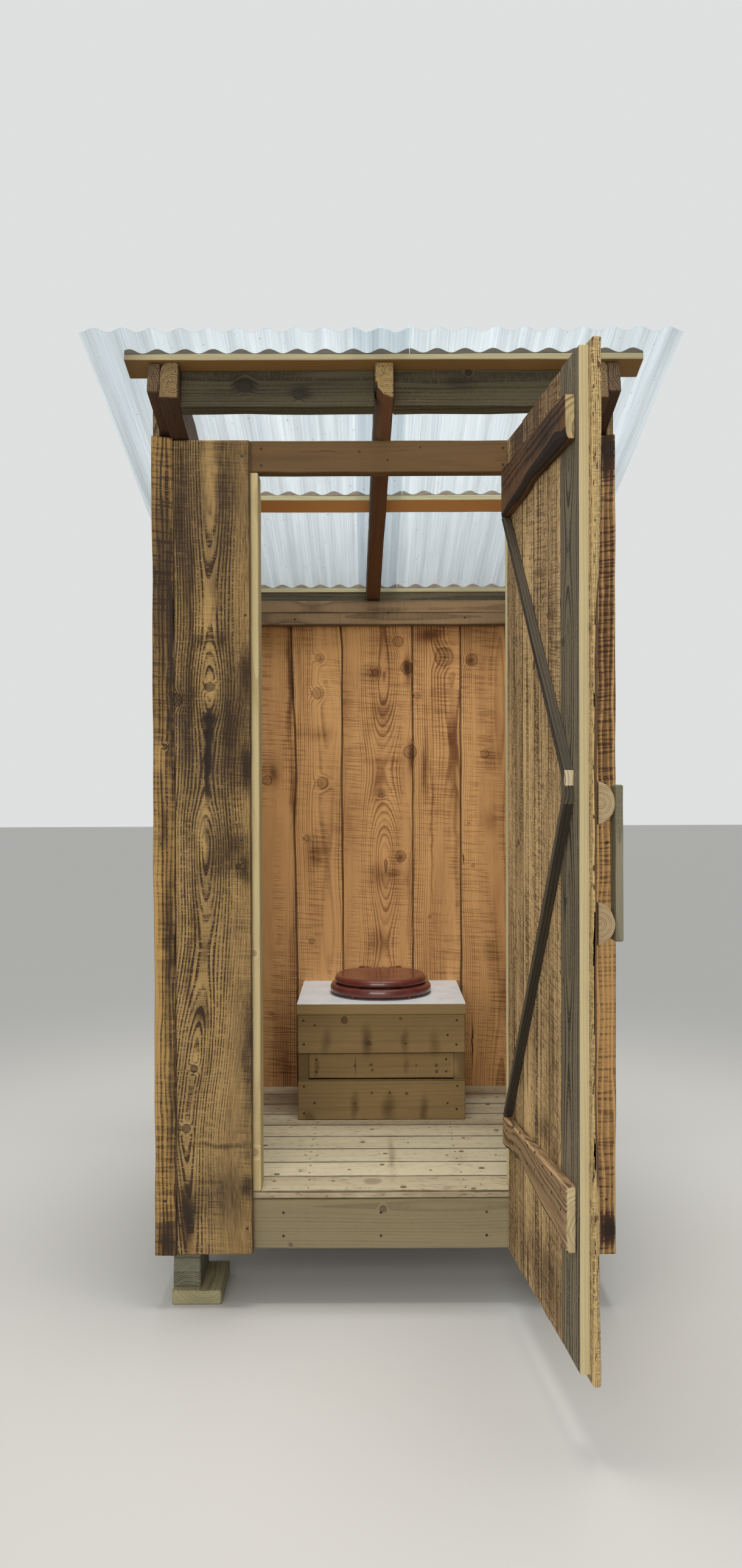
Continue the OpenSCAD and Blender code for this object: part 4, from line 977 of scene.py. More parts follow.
for number, (node, (lie, wood, finish, tones)) in enumerate(WALLS.items()):
    grids = [corners(points, Z, lie) for points in solids(node)]
    apart = node == "front_boards"
    wanders = [{}, {}] if apart else side_by_side(grids, 500 + 40 * number,
                                                  BACK_JOINTS if node == "back_boards" else ())
    parts = [plank(grid, 300 + 40 * number + k, 0.0040, 0.0008 if apart else 0.0001, 0.05, wander, dirt=0.75,
                   pith=PITHS.get(node, {}).get(k), tone=tones[k] if tones else None)
             for k, (grid, wander) in enumerate(zip(grids, wanders))]
    piece("dressed_" + node, parts, WOOD[wood], "building", finish, [node])

# %% [markdown]
# ## Rafters that kept some bark
# The rafters were sawn from thin logs. Where the log was too thin for a full section, its round
# side stays as a wane: a chamfer on the left one, and nearly half the end of the middle one. The
# wane is the `wane` argument of the board, a corner cut that fades out along the rafter. The middle
# rafter also lies a little askew.

# %% Rafters
SKEW = math.radians(1.1)


def fading(across, deep, reach):
    """A wane that is largest at the start of a board and is gone at reach, a share of its length."""
    return lambda t: (across * np.clip(1 - t / reach, 0, 1), deep * np.clip(1 - t / reach, 0, 1) ** 0.7)


askew = math.cos(SKEW) * DOWN_ROOF - math.sin(SKEW) * X
wanes = [{1: fading(0.028, 0.014, 0.45)}, {0: fading(0.056, 0.044, 0.8)}, {2: fading(0.012, 0.010, 0.3)}]
# the tones also set how dark the painted shade under each rafter is
parts = [plank(corners(points, run, OFF_ROOF), 900 + k, 0.003, 0.0014, 0.05, wane=wane, pith=pith,
               tone=(0.05, 0.62, 0.25)[k])
         for k, (points, run, wane, pith) in enumerate(zip(
             solids("rafters"), (DOWN_ROOF, askew, DOWN_ROOF), wanes,
             ((-0.02, 0.01), (0.030, 0.012), (0.0, -0.02))))]
for part, pale in zip(parts, (0.5, 1.0, 0.4)):
    part["pale"] = pale
piece("dressed_rafters", parts, WOOD["rafter"], "building", "rough_grey_wood", ["rafters"])

# %% [markdown]
# ## The narrow strips at the corners
# Two narrow rough strips finish the front wall. The band saw left them with a ladder of cross marks,
# so they are plain boards with another finish.

# %% Front strips
for k, (side, points) in enumerate(zip(("left", "right"), solids("front_strips"))):
    strip = plank(corners(points, Z, X), 950 + k, 0.002, 0.0014, 0.05, dirt=0.4, tone=0.5,
                  pith=((0.10, 0.01), (-0.15, 0.0))[k])
    piece(f"dressed_{side}_strip", [strip], WOOD[side + " strip"], "building", "brown_board",
          () if k else ["front_strips"])

# %% [markdown]
# ## The door
# The door is five rough boards side by side. The last one is grey from an older life, and its free
# edge was freshly ripped, so a thin pale strip is laid along it. The ledges and the lap board kept
# their bark edge: `wander` bends the edge and `wane` rounds it.

# %% Door boards
door_grids = [corners(points, Z, ALONG_DOOR) for points in solids("door_boards")]
DOOR_GROW = 0.0008  # each edge grows by this, so that no light shows between the boards
EDGE_STRIP = 0.0038  # how far the grey board's edge moves back to make room for the pale strip
EDGE_JOINT = 0.0002  # gap between the grey board and that strip
for grid in door_grids:
    grid[:, 0] -= DOOR_GROW * ALONG_DOOR
    grid[:, 1] += DOOR_GROW * ALONG_DOOR
door_grids[0][:, 0] += DOOR_GROW * ALONG_DOOR
edge_grid = door_grids[4].copy()
door_grids[4][:, 1] -= EDGE_STRIP * ALONG_DOOR
edge_grid[:, 0] = door_grids[4][:, 1] + EDGE_JOINT * ALONG_DOOR
edge_grid[:, 1] -= DOOR_GROW * ALONG_DOOR
parts = [plank(grid, 1000 + k, 0.003, 0.0009, 0.06, tone=tone, dirt=0.9)
         for k, (grid, tone) in enumerate(zip(door_grids[:4], (0.42, 0.80, 0.60, 0.35)))]
piece("dressed_door_boards", parts, WOOD["door"], "door", "door_wood", ["door_boards"])
grey_pith = flames(-0.02, 0.02, -0.030, 0.018, 90)
grey_board = plank(door_grids[4], 1010, 0.0015, 0.0007, 0.06, pith=grey_pith)
ripped_edge = plank(edge_grid, 1011, 0.0006, 0.0002, 0.1)
piece("door_grey_board", [grey_board], WOOD["door grey"], "door", "door_wood")
piece("door_ripped_edge", [ripped_edge], WOOD["ripped"], "door", "door_wood")


# %% Lap board on the free edge
LONG = 2.3  # metres that a wave over t is spread along


def bark_edge(seed, height, down=None):
    """An edge that wanders sideways by a wave of that height, and into the board by 0.3 down(t)."""
    return lambda t: (height * ripple(LONG * t, np.random.default_rng(seed), 1.0, 6.0),
                      -0.3 * down(t) if down else 0 * t)


def sideways(curve):
    """An edge that wanders sideways by curve(t)."""
    return lambda t: (curve(t), 0 * t)


def bark_wane(seed, across, deep):
    """A wane that swells and shrinks between about a third of a size and the whole of it."""
    def size(t):
        share = np.clip(0.65 + 0.35 * ripple(LONG * t, np.random.default_rng(seed), 1, 5), 0.2, 1.2)
        return across * share, deep * share
    return size


def by_marks(*marks):
    """A smooth curve over t through evenly spaced marks, in metres, by a cosine between each two."""
    marks = np.array(marks)

    def curve(t):
        place = np.clip(t, 0, 1) * (len(marks) - 1)
        low = np.minimum(place.astype(int), len(marks) - 2)
        share = (1 - np.cos(math.pi * (place - low))) / 2
        return marks[low] * (1 - share) + marks[low + 1] * share
    return curve


lap_grid = corners(solids("door_lap_board")[0], Z, ALONG_DOOR)
lap_bark = by_marks(0.008, 0.010, 0.015, 0.022, 0.023, 0.022, 0.021, 0.018, 0.014, 0.007, 0.002, 0.001)
lap_wanes = {1: bark_wane(8, 0.004, 0.003), 2: lambda t: (1.5 * lap_bark(t), 0.85 * lap_bark(t)),
             3: bark_wane(9, 0.012, 0.010)}
lap_edges = {1: bark_edge(5, 0.0018), 2: bark_edge(5, 0.0018, lap_bark), 3: bark_edge(6, 0.003, lap_bark)}
lap = plank(lap_grid, 1020, 0.002, 0.0014, 0.03, tone=0.95, wander=lap_edges, wane=lap_wanes,
            barky=lambda t: np.clip((0.80 - t) / 0.06, 0, 1) * np.clip((t - 0.16) / 0.06, 0, 1))
piece("dressed_lap_board", [lap], WOOD["lap"], "door", "door_wood", ["door_lap_board"])


# %% Ledges with bark edges
low_ledge, high_ledge = sorted(solids("door_ledges"), key=lambda p: p[:, 2].min())
droop = by_marks(0.000, -0.004, -0.010, -0.004, -0.016, -0.024, -0.034)
upper_bark = by_marks(0.010, 0.018, 0.026, 0.024, 0.032, 0.038, 0.024)
belly = by_marks(0.006, 0.022, 0.036, 0.020, 0.008, 0.012, 0.002)
lower_bark = by_marks(0.007, 0.010, 0.009, 0.013, 0.016, 0.012, 0.006)
upper_edge = bark_edge(11, 0.002)
upper = plank(corners(high_ledge, ALONG_DOOR, Z), 1031, 0.002, 0.0010, 0.02, pith=(-0.03, -0.05),
              wander={0: sideways(droop), 1: upper_edge, 2: upper_edge, 3: sideways(droop)},
              wane={3: lambda t: (1.25 * upper_bark(t), 0.30 * upper_bark(t))})
lower = plank(corners(low_ledge, ALONG_DOOR, Z), 1032, 0.003, 0.0010, 0.02, pith=(-0.02, -0.04),
              wander={0: sideways(belly), 3: sideways(belly)},
              wane={2: lambda t: (0.004 + 0 * t, 0.004 + 0 * t),
                    3: lambda t: (lower_bark(t), 0.8 * lower_bark(t))})
piece("dressed_upper_ledge", [upper], WOOD["ledge"], "door", "door_wood", ["door_ledges"])
piece("dressed_lower_ledge", [lower], WOOD["low ledge"], "door", "door_wood")

# %% Braces
parts = []
for k, points in enumerate(sorted(solids("door_braces"), key=lambda p: p[:, 2].min())):
    by_reach = points[np.argsort(points @ ALONG_DOOR)]
    run = by_reach[4:].mean(0) - by_reach[:4].mean(0)
    grid = corners(points, run, np.cross(OUT_OF_DOOR, run))
    parts.append(plank(grid, 1040 + k, 0.0015, 0.0005, 0.06, tone=(0.25, 0.0)[k]) | {"pale": k == 1})
piece("dressed_braces", parts, WOOD["brace"], "door", "dark_brace_wood", ["door_braces"])

# %% [markdown]
# ## The handle
# Two slices of a small log, split in half, carry an upright grip. A half slice is a tube again: its
# section is an arc of a circle closed by its chord. Because `grain` measures from the pith, the
# yearly rings come out as circles on the sawn faces.

# %% Half slices and grip


SLICE = 0.045  # thickness of a slice in metres


def half_slice(points, seed):
    """A point is place(s) + R cos(q) outwards + R sin(q) up, with q over a little less than half a turn."""
    rng = np.random.default_rng(seed)
    out, run, high = points @ OUT_OF_DOOR, points @ ALONG_DOOR, points[:, 2]
    chord, rise = np.ptp(high), np.ptp(out)
    round_r = (chord ** 2 / 4 + rise ** 2) / (2 * rise)
    q = np.linspace(-1, 1, 29) * math.asin(chord / 2 / round_r)
    s = np.array([0, 0.002, 0.006, 0.039, 0.043, SLICE]) / SLICE * np.ptp(run)
    inset = np.array([0.0030, 0.0008, 0, 0, 0.0008, 0.0030])[:, None]
    wobble = 1 + 0.012 * ripple(q, rng, 0.3, 2)
    y = np.maximum((round_r * wobble - inset) * np.cos(q) - (round_r - rise), 0)
    z = (round_r * wobble - inset) * np.sin(q)
    middle = (high.max() + high.min()) / 2
    spots = ((out.min() + y)[..., None] * OUT_OF_DOOR + (run.min() + s)[:, None, None] * ALONG_DOOR
             + (z + middle)[..., None] * Z)
    grain = np.stack([np.broadcast_to(s[:, None] + 9.7 * seed, z.shape), z, y - 0.004], -1)
    return {"points": spots.reshape(-1, 3), "faces": tube_faces(6, 29), "grain": grain.reshape(-1, 3),
            "tone": np.full(z.size, rng.random()), "caps": 2}


slices = solids("handle_slices")
piece("dressed_half_slices", [half_slice(points, 3 + k) for k, points in enumerate(slices)], WOOD["slice"],
      "door", "log_slice", ["handle_slices"])
grip = plank(corners(solids("handle_bar")[0], Z, OUT_OF_DOOR), 1050, 0.003, 0.0006, 0.03)
piece("dressed_grip", [grip], WOOD["grip"], "door", "grip_wood", ["handle_bar"])

# %% [markdown]
# ## The clear roof
# Corrugated sheet is one cosine pushed along the slope. The shell has an upper and a lower side, so
# it is a real solid 1.2 mm thick. Years of rain left streaks down the waves. The material lets light
# through in two ways: a milky part that glows, and a clear part that shows what is behind.

# %% Sheet material
sheet_look, w, shader = plain_material("clear corrugated sheet", (0.8, 0.87, 0.9), 0.3)
lay = w.attribute("grain", "Vector")
wide_streak = w.noise(w.scaled(lay, (0.9, 16, 1)), 3)
streak = w.noise(w.scaled(lay, (1.5, 210, 1)), 4, 0.65)
speck = w.between(w.noise(w.scaled(lay, (70, 70, 1)), 1), 0.72, 0.78)
milk = streak + 0.7 * (wide_streak - 0.5)
look = w.blend(w.between(milk, 0.2, 0.8), (0.37, 0.41, 0.435, 1), (0.53, 0.575, 0.605, 1))
look = w.blend(0.6 * speck, look, (0.10, 0.11, 0.09, 1))
w.put(shader.inputs["Base Color"], look)
glow = w.value("ShaderNodeBsdfTranslucent", {"Color": look})
clear = w.value("ShaderNodeBsdfTransparent", {"Color": (0.94, 0.96, 0.98, 1)})
body = w.value("ShaderNodeMixShader", {0: 0.5, 1: Value(w, shader.outputs[0]), 2: glow})
# what is seen through the sheet is mostly its own milk, but most of the daylight gets in
clearness = w.between(w.value("ShaderNodeLightPath", out="Is Shadow Ray"), 0, 1, 0.30, 0.82)
body = w.value("ShaderNodeMixShader", {0: clearness, 1: body, 2: clear})
w.put(sheet_look.node_tree.nodes["Material Output"].inputs["Surface"], body)

# %% Sheets
EAVES = np.array([0, -0.565873, 2.565])
WAVE, WAVE_HEIGHT, SHEET, SHEET_WAVES = 0.0762, 0.014, 0.0012, 11.5
SHEET_V = 0.1305  # height of the valleys off the line through the rafters' eaves
SHEET_U = (-0.100, 1.729)


def on_roof(x, u, v):
    """Places on the roof: x to the side, u down the slope from the rafters' front end, v off the slope."""
    return EAVES + x[..., None] * X + u[..., None] * DOWN_ROOF + v[..., None] * OFF_ROOF


def wave(x):
    """Height of the corrugation over its valleys, with a crest at x = 0."""
    return WAVE_HEIGHT / 2 * (1 + np.cos(2 * math.pi * x / WAVE))


def corrugated(left, lift, seed):
    """Point (x, u) lies at v = SHEET_V + wave(x), and once more a sheet's thickness higher.

    Its free edges sway a little."""
    rng = np.random.default_rng(seed)
    x = left + np.linspace(0, SHEET_WAVES * WAVE, int(SHEET_WAVES * 16) + 1)
    u = np.r_[SHEET_U[0], np.linspace(SHEET_U[0] + 0.004, SHEET_U[1] - 0.004, 22), SHEET_U[1]]
    loose = np.clip((np.abs(u - 0.8) - 0.8) / 0.1, 0, 1)[:, None]
    sway = 0.0012 * loose * (ripple(x, rng, 0.8, 5) + 0.5)
    ends = np.concatenate([x, x[::-1]])
    v = np.concatenate([wave(x), wave(x[::-1]) + SHEET]) + SHEET_V + lift
    grid_u, grid_x = np.meshgrid(u, ends, indexing="ij")
    points = on_roof(grid_x, grid_u, v + np.concatenate([sway, sway[:, ::-1]], 1))
    faces = tube_faces(len(u), len(ends))[:-2]
    half, last = np.arange(len(x) - 1), (len(u) - 1) * len(ends)
    pairs = np.stack([half, half + 1, len(ends) - 2 - half, len(ends) - 1 - half], 1)
    faces += pairs[:, ::-1].tolist() + (pairs + last).tolist()
    grain = np.stack([grid_u + 7 * seed, grid_x, 0 * grid_x], -1)
    return {"points": points.reshape(-1, 3), "faces": faces, "grain": grain.reshape(-1, 3)}


LEFT_SHEET, RIGHT_SHEET = -0.8001, -0.0762
for side, left, lift in (("left", LEFT_SHEET, 0.0), ("right", RIGHT_SHEET, SHEET)):
    piece(f"clear_sheet_{side}", [corrugated(left, lift, len(side))], sheet_look, "building", "clear_sheet",
          [f"sheet_{side}_side"], smooth=True)

# %% [markdown]
# ## The bench top and its white skin
# The bench top is a thick board with an egg-shaped hole, and only its upper side is white: a thin
# hard skin over brown wood. Both are rings between the hole and the outer rectangle, so one function
# of the turn q and the step p from edge to edge makes the two.

# %% Egg outline
BENCH_X, SEAT_Y = 0.003, 0.56663
bench_low, bench_high = (np.array(c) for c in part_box("bench_top"))
ring_low, ring_high = (np.array(c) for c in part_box("seat_ring"))
lid_low, lid_high = (np.array(c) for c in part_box("seat_lid"))
SKIN = 0.0022


def egg(width, length, q):
    """The seat's outline at the turns q: a circle stretched to an oval, with a squarer back half."""
    c, s = np.cos(q), np.sin(q)
    return np.stack([width / 2 * np.sign(c) * np.abs(c) ** np.where(s > 0, 0.5, 0.92), length / 2 * s], -1)


def ring_of(outer, inner, steps, seed):
    """Point (q, p) is (1-k) outer(q) + k inner(q) at height z, for steps p of (k, z). It closes on itself."""
    k, z = np.array(steps).T[:, :, None]
    flat = (1 - k[..., None]) * outer + k[..., None] * inner
    points = np.concatenate([flat, np.broadcast_to(z, flat.shape[:2])[..., None]], -1)
    rows, count = points.shape[:2]
    faces = tube_faces(rows, count)[:-2]
    ring = np.arange(count)
    after, last = (ring + 1) % count, (rows - 1) * count
    faces += np.stack([ring + last, after + last, after, ring], 1).tolist()
    points = points.reshape(-1, 3)
    grain = np.stack([points[:, 0] + seed, points[:, 1] - 0.4, points[:, 2] - 0.65], -1)
    return {"points": points, "faces": faces, "grain": grain}


def rectangle(low, high, centre, q):
    """Where rays from centre at the turns q leave the rectangle from low to high."""
    d = np.stack([np.cos(q), np.sin(q)], -1)
    with np.errstate(divide="ignore", invalid="ignore"):
        reach = np.where(d > 0, (high[:2] - centre) / d, (low[:2] - centre) / d)
    return centre + d * np.nanmin(np.where(np.isfinite(reach), reach, np.inf), -1)[:, None]


hole_centre = np.array([BENCH_X, SEAT_Y - 0.006])
to_corners = [math.atan2(y - hole_centre[1], x - hole_centre[0]) for x in (bench_low[0], bench_high[0])
              for y in (bench_low[1], bench_high[1])]
turns = np.unique(np.r_[np.linspace(-math.pi, math.pi, 97)[:-1], to_corners])
outer = rectangle(bench_low, bench_high, hole_centre, turns)
inner = hole_centre + egg(0.238, 0.249, turns)
z0, z1 = bench_low[2], bench_high[2] - SKIN
slab = ring_of(outer, inner, [(1, z0), (0.01, z0), (0, z0 + 0.002), (0, z1), (1, z1)], 3)
slab["tone"] = np.full(len(slab["points"]), 0.66)
z2 = bench_high[2]
skin = ring_of(outer, inner, [(1, z1), (0.002, z1), (0, z1 + 0.0006), (0, z2 - 0.0006), (0.003, z2),
                              (0.99, z2), (1, z2 - 0.0008)], 5)
white, w, shader = plain_material("white bench skin", (0.80, 0.80, 0.79), 0.45)
lay = w.attribute("grain", "Vector")
dust = w.noise(w.scaled(lay, (9, 9, 9)), 5, 0.7)
mark = w.between(w.noise(w.scaled(lay, (60, 90, 1))), 0.66, 0.74)
shade = w.blend(w.between(dust, 0.35, 0.75), (0.70, 0.710, 0.725, 1), (0.55, 0.555, 0.56, 1))
w.put(shader.inputs["Base Color"], w.blend(0.5 * mark, shade, (0.40, 0.36, 0.30, 1)))
w.put(shader.inputs["Roughness"], w.between(dust, 0.3, 0.7, 0.35, 0.6))
piece("bench_slab", [slab], WOOD["bench"], "building", "bench_board", ["bench_top"])
piece("bench_white_skin", [skin], white, "building", "white_bench_top")

# %% [markdown]
# ## The seat and its lid
# The seat is moulded wood with a thick glossy coat, the only shiny thing here. The ring is the same
# kind of surface as the bench top, with a round section. The lid is a set of egg outlines that
# shrink towards its middle while they rise over a soft shoulder.

# %% Gloss and seat
gloss, w, shader = plain_material("red brown gloss", (0.105, 0.026, 0.016), 0.4, Coat_Weight=0.65,
                                  Coat_Roughness=0.10, Specular_IOR_Level=0.3)
flow = w.between(w.noise(w.scaled(w.place(), (6, 40, 40)), 4, 0.6), 0.3, 0.7)
w.put(shader.inputs["Base Color"], w.blend(flow, (0.098, 0.020, 0.015, 1), (0.148, 0.034, 0.025, 1)))
scuff = w.noise(w.scaled(w.place(), (25, 25, 25)), 5, 0.7)
w.put(shader.inputs["Roughness"], w.between(scuff, 0.4, 0.8, 0.38, 0.55))

turns = np.linspace(0, 2 * math.pi, 121)[:-1]
seat_size = ring_high[:2] - ring_low[:2]
seat_out = egg(*seat_size, turns) + (BENCH_X, SEAT_Y)
seat_hole = egg(0.214, 0.225, turns) + hole_centre
RING = 0.029  # thickness of the ring
FOOT_RADIUS, FOOT_BITE = 0.008, 0.0005
base = ring_high[2] - RING
curve = [(1.00, 0.30), (0.93, 0.00), (0.07, 0.00), (0.025, 0.08), (0.0, 0.26), (0.0, 0.52), (0.02, 0.72),
         (0.06, 0.87), (0.12, 0.96), (0.22, 1.00), (0.70, 0.99), (0.86, 0.90), (0.96, 0.70), (1.0, 0.48)]
seat = ring_of(seat_out, seat_hole, [(k, base + RING * z) for k, z in curve], 1)
feet = [(BENCH_X + side * share_x * seat_size[0], SEAT_Y + share_y * seat_size[1], ring_low[2])
        for side in (-1, 1) for share_x, share_y in ((0.27, -0.38), (0.33, 0.3))]
studs = turned(feet, Z, ((FOOT_RADIUS, 0), (FOOT_RADIUS, base - ring_low[2] + FOOT_BITE)), 16)
piece("dressed_seat_ring", [seat, *studs], gloss, "building", "seat_gloss", ["seat_ring"], smooth=True)

# %% Lid


def shrinking_egg(size, centre, steps):
    """Rings of an egg outline, each inset by a distance at its own height, closed flat at both ends."""
    rings = [np.concatenate([egg(size[0] - 2 * inset, size[1] - 2 * inset, turns) + centre,
                             np.full((len(turns), 1), z)], 1) for inset, z in steps]
    return {"points": np.concatenate(rings), "faces": tube_faces(len(steps), len(turns))}


narrower = seat_size[0] - (lid_high[0] - lid_low[0])
lid_size = seat_size - narrower
z = lid_low[2]
lid = shrinking_egg(lid_size, (BENCH_X, SEAT_Y), [
    (0.120, z + 0.005), (0.020, z + 0.005), (0.012, z), (0.005, z), (0.0015, z + 0.0022), (0, z + 0.006),
    (0.0004, z + 0.0110), (0.0016, z + 0.0155), (0.0040, z + 0.0195), (0.0080, z + 0.0225),
    (0.0130, z + 0.0242), (0.0180, z + 0.0249), (0.0230, z + 0.0247), (0.060, z + 0.0246),
    (0.120, z + 0.0246)])
LID_HINGE_Y = 0.7551
HINGE_SPREAD = 0.048  # from the middle of the seat to the middle of an eye
EYE = ((0.0078, -0.011), (0.0078, 0.011))
ARM_START, ARM_HALF_WIDTH = 0.69, 0.0105
eyes = []
for side in (-1, 1):
    middle = BENCH_X + side * HINGE_SPREAD
    eyes += turned([(middle, LID_HINGE_Y, (lid_low[2] + lid_high[2]) / 2)], X, EYE, 24)
    arm = np.array([[[[middle + share * ARM_HALF_WIDTH, y, h] for h in (z + 0.0015, z + 0.0195)]
                     for share in (-1, 1)] for y in (ARM_START, LID_HINGE_Y)])
    eyes.append(plank(arm, 40 + side, 0.0015, 0.0, 0.02))
piece("dressed_seat_lid", [lid, *eyes], gloss, "lid", "seat_gloss", ["seat_lid"], smooth=True)

# %% [markdown]
# ## What stays as the CAD has it
# The wavy fillers, the hinges and the seat's hinge blocks have the right shape already, so they only
# get a finish. They carry no grain attribute, so their patterns read the Object coordinates.

# %% Finishes for the CAD nodes that stay
filler, w, shader = plain_material("closure filler", (0.20, 0.19, 0.17), 0.85)
pores = w.noise(w.scaled(w.place(), (30, 120, 160)), 4, 0.7)
# painted shade: the filler at the front, seen under the sheet's crests, is dark, and it turns lighter towards
# the back
past_front_shade = w.between(w.part(w.place(), 1), -0.45, -0.10)
look = w.blend(past_front_shade, (0.085, 0.070, 0.050, 1), (0.30, 0.235, 0.180, 1))
look = w.blend(w.between(pores, 0.3, 0.7, 0.0, 0.5), look, (0.045, 0.038, 0.030, 1))
w.put(shader.inputs["Base Color"], look)
w.put(shader.inputs["Normal"], w.bump(pores, 0.0008))

steel, w, shader = plain_material("dark steel", (0.06, 0.052, 0.046), 0.45, Metallic=0.8)
rust = w.between(w.noise(w.scaled(w.place(), (45, 45, 45)), 5, 0.7), 0.48, 0.66)
w.put(shader.inputs["Base Color"], w.blend(rust, (0.034, 0.031, 0.029, 1), (0.095, 0.038, 0.016, 1)))
w.put(shader.inputs["Roughness"], w.between(rust, 0, 1, 0.38, 0.85))
w.put(shader.inputs["Metallic"], w.between(rust, 0, 1, 0.65, 0.05))
w.put(shader.inputs["Normal"], w.bump(rust, 0.0003))

for node, look in {"closure_strips": filler, "hinge_leaves": steel, "hinge_straps": steel,
                   "seat_hinge": gloss}.items():
    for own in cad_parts[node].material_slots:
        own.material = look
    print(node, "is finished in", look.name)

# %% [markdown]
# ## Nails and roof screws
# Nails hold this building together, and their heads are what the eye finds first on a plain board. A
# head is a small dome: rings that shrink as they rise. All heads of one wall are one piece. The roof is
# held by screws with a rubber washer, on the crests over the purlins.

# %% Nail heads
HEAD = ((0.0042, -0.001), (0.0042, 0.0002), (0.0030, 0.0009), (0.0012, 0.0012))
BENCH_FACE, MIDDLE_FACE = 0.3611, 0.3801  # Y of the bench's outer boards and of its narrow one
WALL_FACE, RIM_FACE, BACK_FACE = -0.3709, -0.3459, 0.8311
DECK_TOP = 0.338
bench_heads = [(x, BENCH_FACE, z) for x, z in (
    (-0.269, 0.686), (-0.230, 0.669), (-0.268, 0.603), (0.266, 0.686), (0.234, 0.635), (0.265, 0.601),
    (-0.268, 0.456), (-0.268, 0.362), (-0.231, 0.398), (0.233, 0.396), (0.265, 0.375), (0.268, 0.456))]
bench_heads += [(x, MIDDLE_FACE, z) for x in (-0.225, 0.230) for z in (0.502, 0.545)]
front_heads = [(side * x + 0.007, WALL_FACE, z) for side in (-1, 1) for x, z in (
    (0.403, 0.696), (0.397, 2.005), (0.580, 2.42), (0.575, 1.20), (0.412, 1.36), (0.590, 0.25),
    (0.405, 2.46), (0.400, 0.24), (0.636, 2.40), (0.640, 1.35), (0.636, 0.32))]
rim_heads = [(x, RIM_FACE, z) for x in (-0.600, -0.290, -0.007, 0.300, 0.600) for z in (0.208, 0.276)]
header_heads = [(x, RIM_FACE, z) for x in (-0.345, 0.352) for z in (2.440, 2.488)]
plate_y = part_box("rear_plate_low")[0][1]
plate_heads = [(x, plate_y, z) for x, z in ((-0.318, 2.137), (0.330, 2.141), (0.04, 2.160))]
back_x = (-0.58, -0.46, -0.37, -0.29, -0.18, -0.10, 0.09, 0.17, 0.28, 0.36, 0.46, 0.54, 0.63)
back_heads = [(x, BACK_FACE, z) for k, x in enumerate(back_x)
              for z in (0.26 + 0.006 * (k % 3), 2.12 - 0.007 * (k % 2))]
side_y = [(p[:, 1].min() + p[:, 1].max()) / 2 for p in solids("left_boards")]
joist_x = [p[:, 0].mean() for p in solids("joists")] + [-0.615, 0.630]
deck_heads = [(x + 0.004 * math.sin(40 * y), y + dy, DECK_TOP) for points in solids("deck_boards")
              for x in joist_x if points[:, 0].min() < x < points[:, 0].max()
              for y in (points[:, 1].mean(),) for dy in (-0.035, 0.034)]
small_head = [(0.8 * r, 0.6 * h) for r, h in HEAD]
for name, spots, out, rings, finish in (
        ("bench_nails", bench_heads, -Y, HEAD, "bench_board"),
        ("front_nails", front_heads, -Y, HEAD, "brown_board"),
        ("rim_nails", rim_heads, -Y, HEAD, "floor_wood"),
        ("header_nails", header_heads, -Y, HEAD, "plate_wood"),
        ("plate_nails", plate_heads, -Y, HEAD, "plate_wood"),
        ("back_nails", back_heads, Y, HEAD, "back_board"),
        ("deck_nails", deck_heads, Z, small_head, "floor_wood")):
    piece(name, turned(spots, out, rings), steel, "building", "dark_steel", smooth=True)
side_parts = []
for side, x in ((-1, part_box("left_boards")[0][0]), (1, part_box("right_boards")[1][0])):
    spots = [(x, y + dy, z) for y in side_y for dy in (-0.045, 0.045) for z in (0.24, 1.25)]
    side_parts += turned(spots, side * X, small_head)
piece("side_nails", side_parts, steel, "building", "dark_steel", smooth=True)

# %% Door nails
ledge_parts = []
for points in solids("door_ledges"):
    face = (points @ OUT_OF_DOOR).min()
    reach = points @ ALONG_DOOR
    height = np.array([points[:, 2].min(), points[:, 2].max()])
    places = np.linspace(reach.min() + 0.05, reach.max() - 0.05, 8)
    spots = [face * OUT_OF_DOOR + u * ALONG_DOOR + (height[0] + share * np.ptp(height)) * Z
             for k, u in enumerate(places) for share in ((0.55, 0.84) if k % 2 else (0.62, 0.90))]
    ledge_parts += turned(spots, -OUT_OF_DOOR, HEAD)
door_solids = solids("door_boards")
outside = max((points @ OUT_OF_DOOR).max() for points in door_solids)
near, far = (door_solids[0] @ ALONG_DOOR).min(), (door_solids[4] @ ALONG_DOOR).max()
places = np.linspace(near + 0.05, far - 0.05, 9)
clinched = [outside * OUT_OF_DOOR + u * ALONG_DOOR + z * Z for u in places for z in (0.50, 0.57, 2.27, 2.34)]
ledge_parts += turned(clinched, OUT_OF_DOOR, small_head)
piece("door_nails", ledge_parts, steel, "door", "dark_steel", smooth=True)

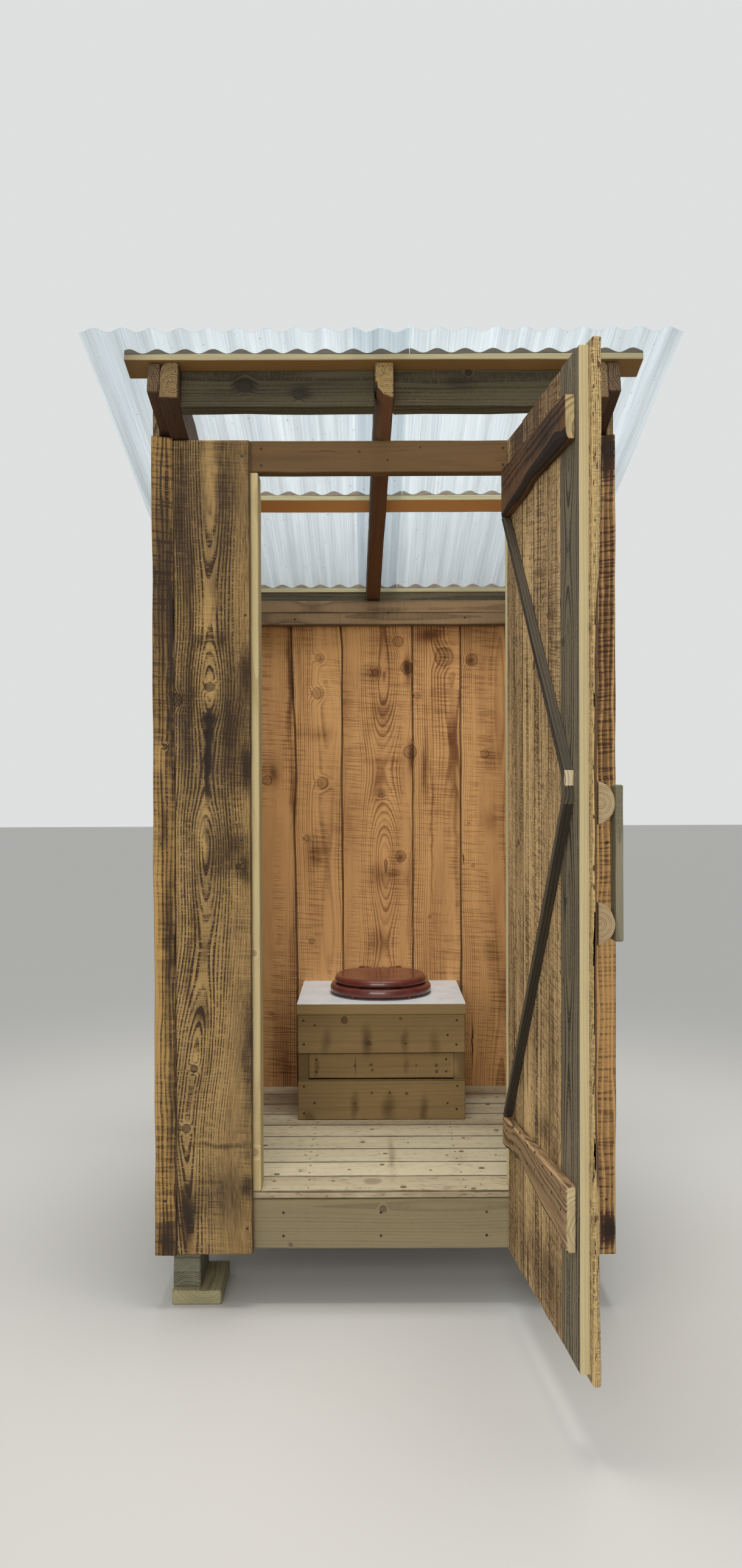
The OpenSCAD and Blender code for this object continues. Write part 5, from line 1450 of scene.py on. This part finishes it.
# %% Roof screws
crests = np.arange(-9, 10, 3) * WAVE
WASHER = ((0.0085, -0.0002), (0.0085, 0.0012), (0.0050, 0.0024), (0.0048, 0.0060), (0.0034, 0.0072))
screw_parts = []
for points in solids("purlins"):
    u = ((points.mean(0) - EAVES) @ DOWN_ROOF).repeat(len(crests))
    v = SHEET_V + WAVE_HEIGHT + SHEET + SHEET * (crests > RIGHT_SHEET)
    screw_parts += turned(on_roof(crests, u, v), OFF_ROOF, WASHER, 12)
piece("roof_screws", screw_parts, steel, "building", "dark_steel", smooth=True)

# %% [markdown]
# ## Floor, backdrop and light
# The stage is a pale floor under a pale sky. Soft light from all round comes from the world colour,
# and one large lamp high in front gives the boards a little relief.

# %% Stage and lights
floor_mesh = bpy.data.meshes.new("floor")
floor_mesh.from_pydata([(-30, -30, 0), (30, -30, 0), (30, 30, 0), (-30, 30, 0)], [], [(0, 1, 2, 3)])
floor = bpy.data.objects.new("floor", floor_mesh)
bpy.context.scene.collection.objects.link(floor)
floor_mesh.materials.append(plain_material("pale floor", (0.52, 0.51, 0.49), 0.9)[0])
floor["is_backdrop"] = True

world = bpy.data.worlds.new("soft sky")
world.use_nodes = True
world.node_tree.nodes["Background"].inputs["Color"].default_value = (0.98, 1.0, 1.0, 1)
world.node_tree.nodes["Background"].inputs["Strength"].default_value = 0.75
bpy.context.scene.world = world


def lamp(name, place, target, size, power, colour, spread=180):
    """A square area lamp that looks from place to target and shines within a spread in degrees."""
    data = bpy.data.lights.new(name, "AREA")
    data.size, data.energy, data.color, data.spread = size, power, colour, math.radians(spread)
    made = bpy.data.objects.new(name, data)
    bpy.context.scene.collection.objects.link(made)
    back = unit(np.array(place) - np.array(target))
    side = unit(np.cross(Y if abs(back[2]) > 0.9 else Z, back))
    made.matrix_world = standing(side, np.cross(back, side), back, place)


lamp("soft front", (-0.9, -7.0, 2.9), (0, 0, 1.2), 3.5, 210, (1.0, 0.96, 0.90))
lamp("over the roof", (0.1, -0.2, 4.9), (0.05, 0.15, 1.0), 2.0, 48, (1.0, 0.97, 0.92), 75)
print("lamps", [light.name for light in bpy.data.lights])
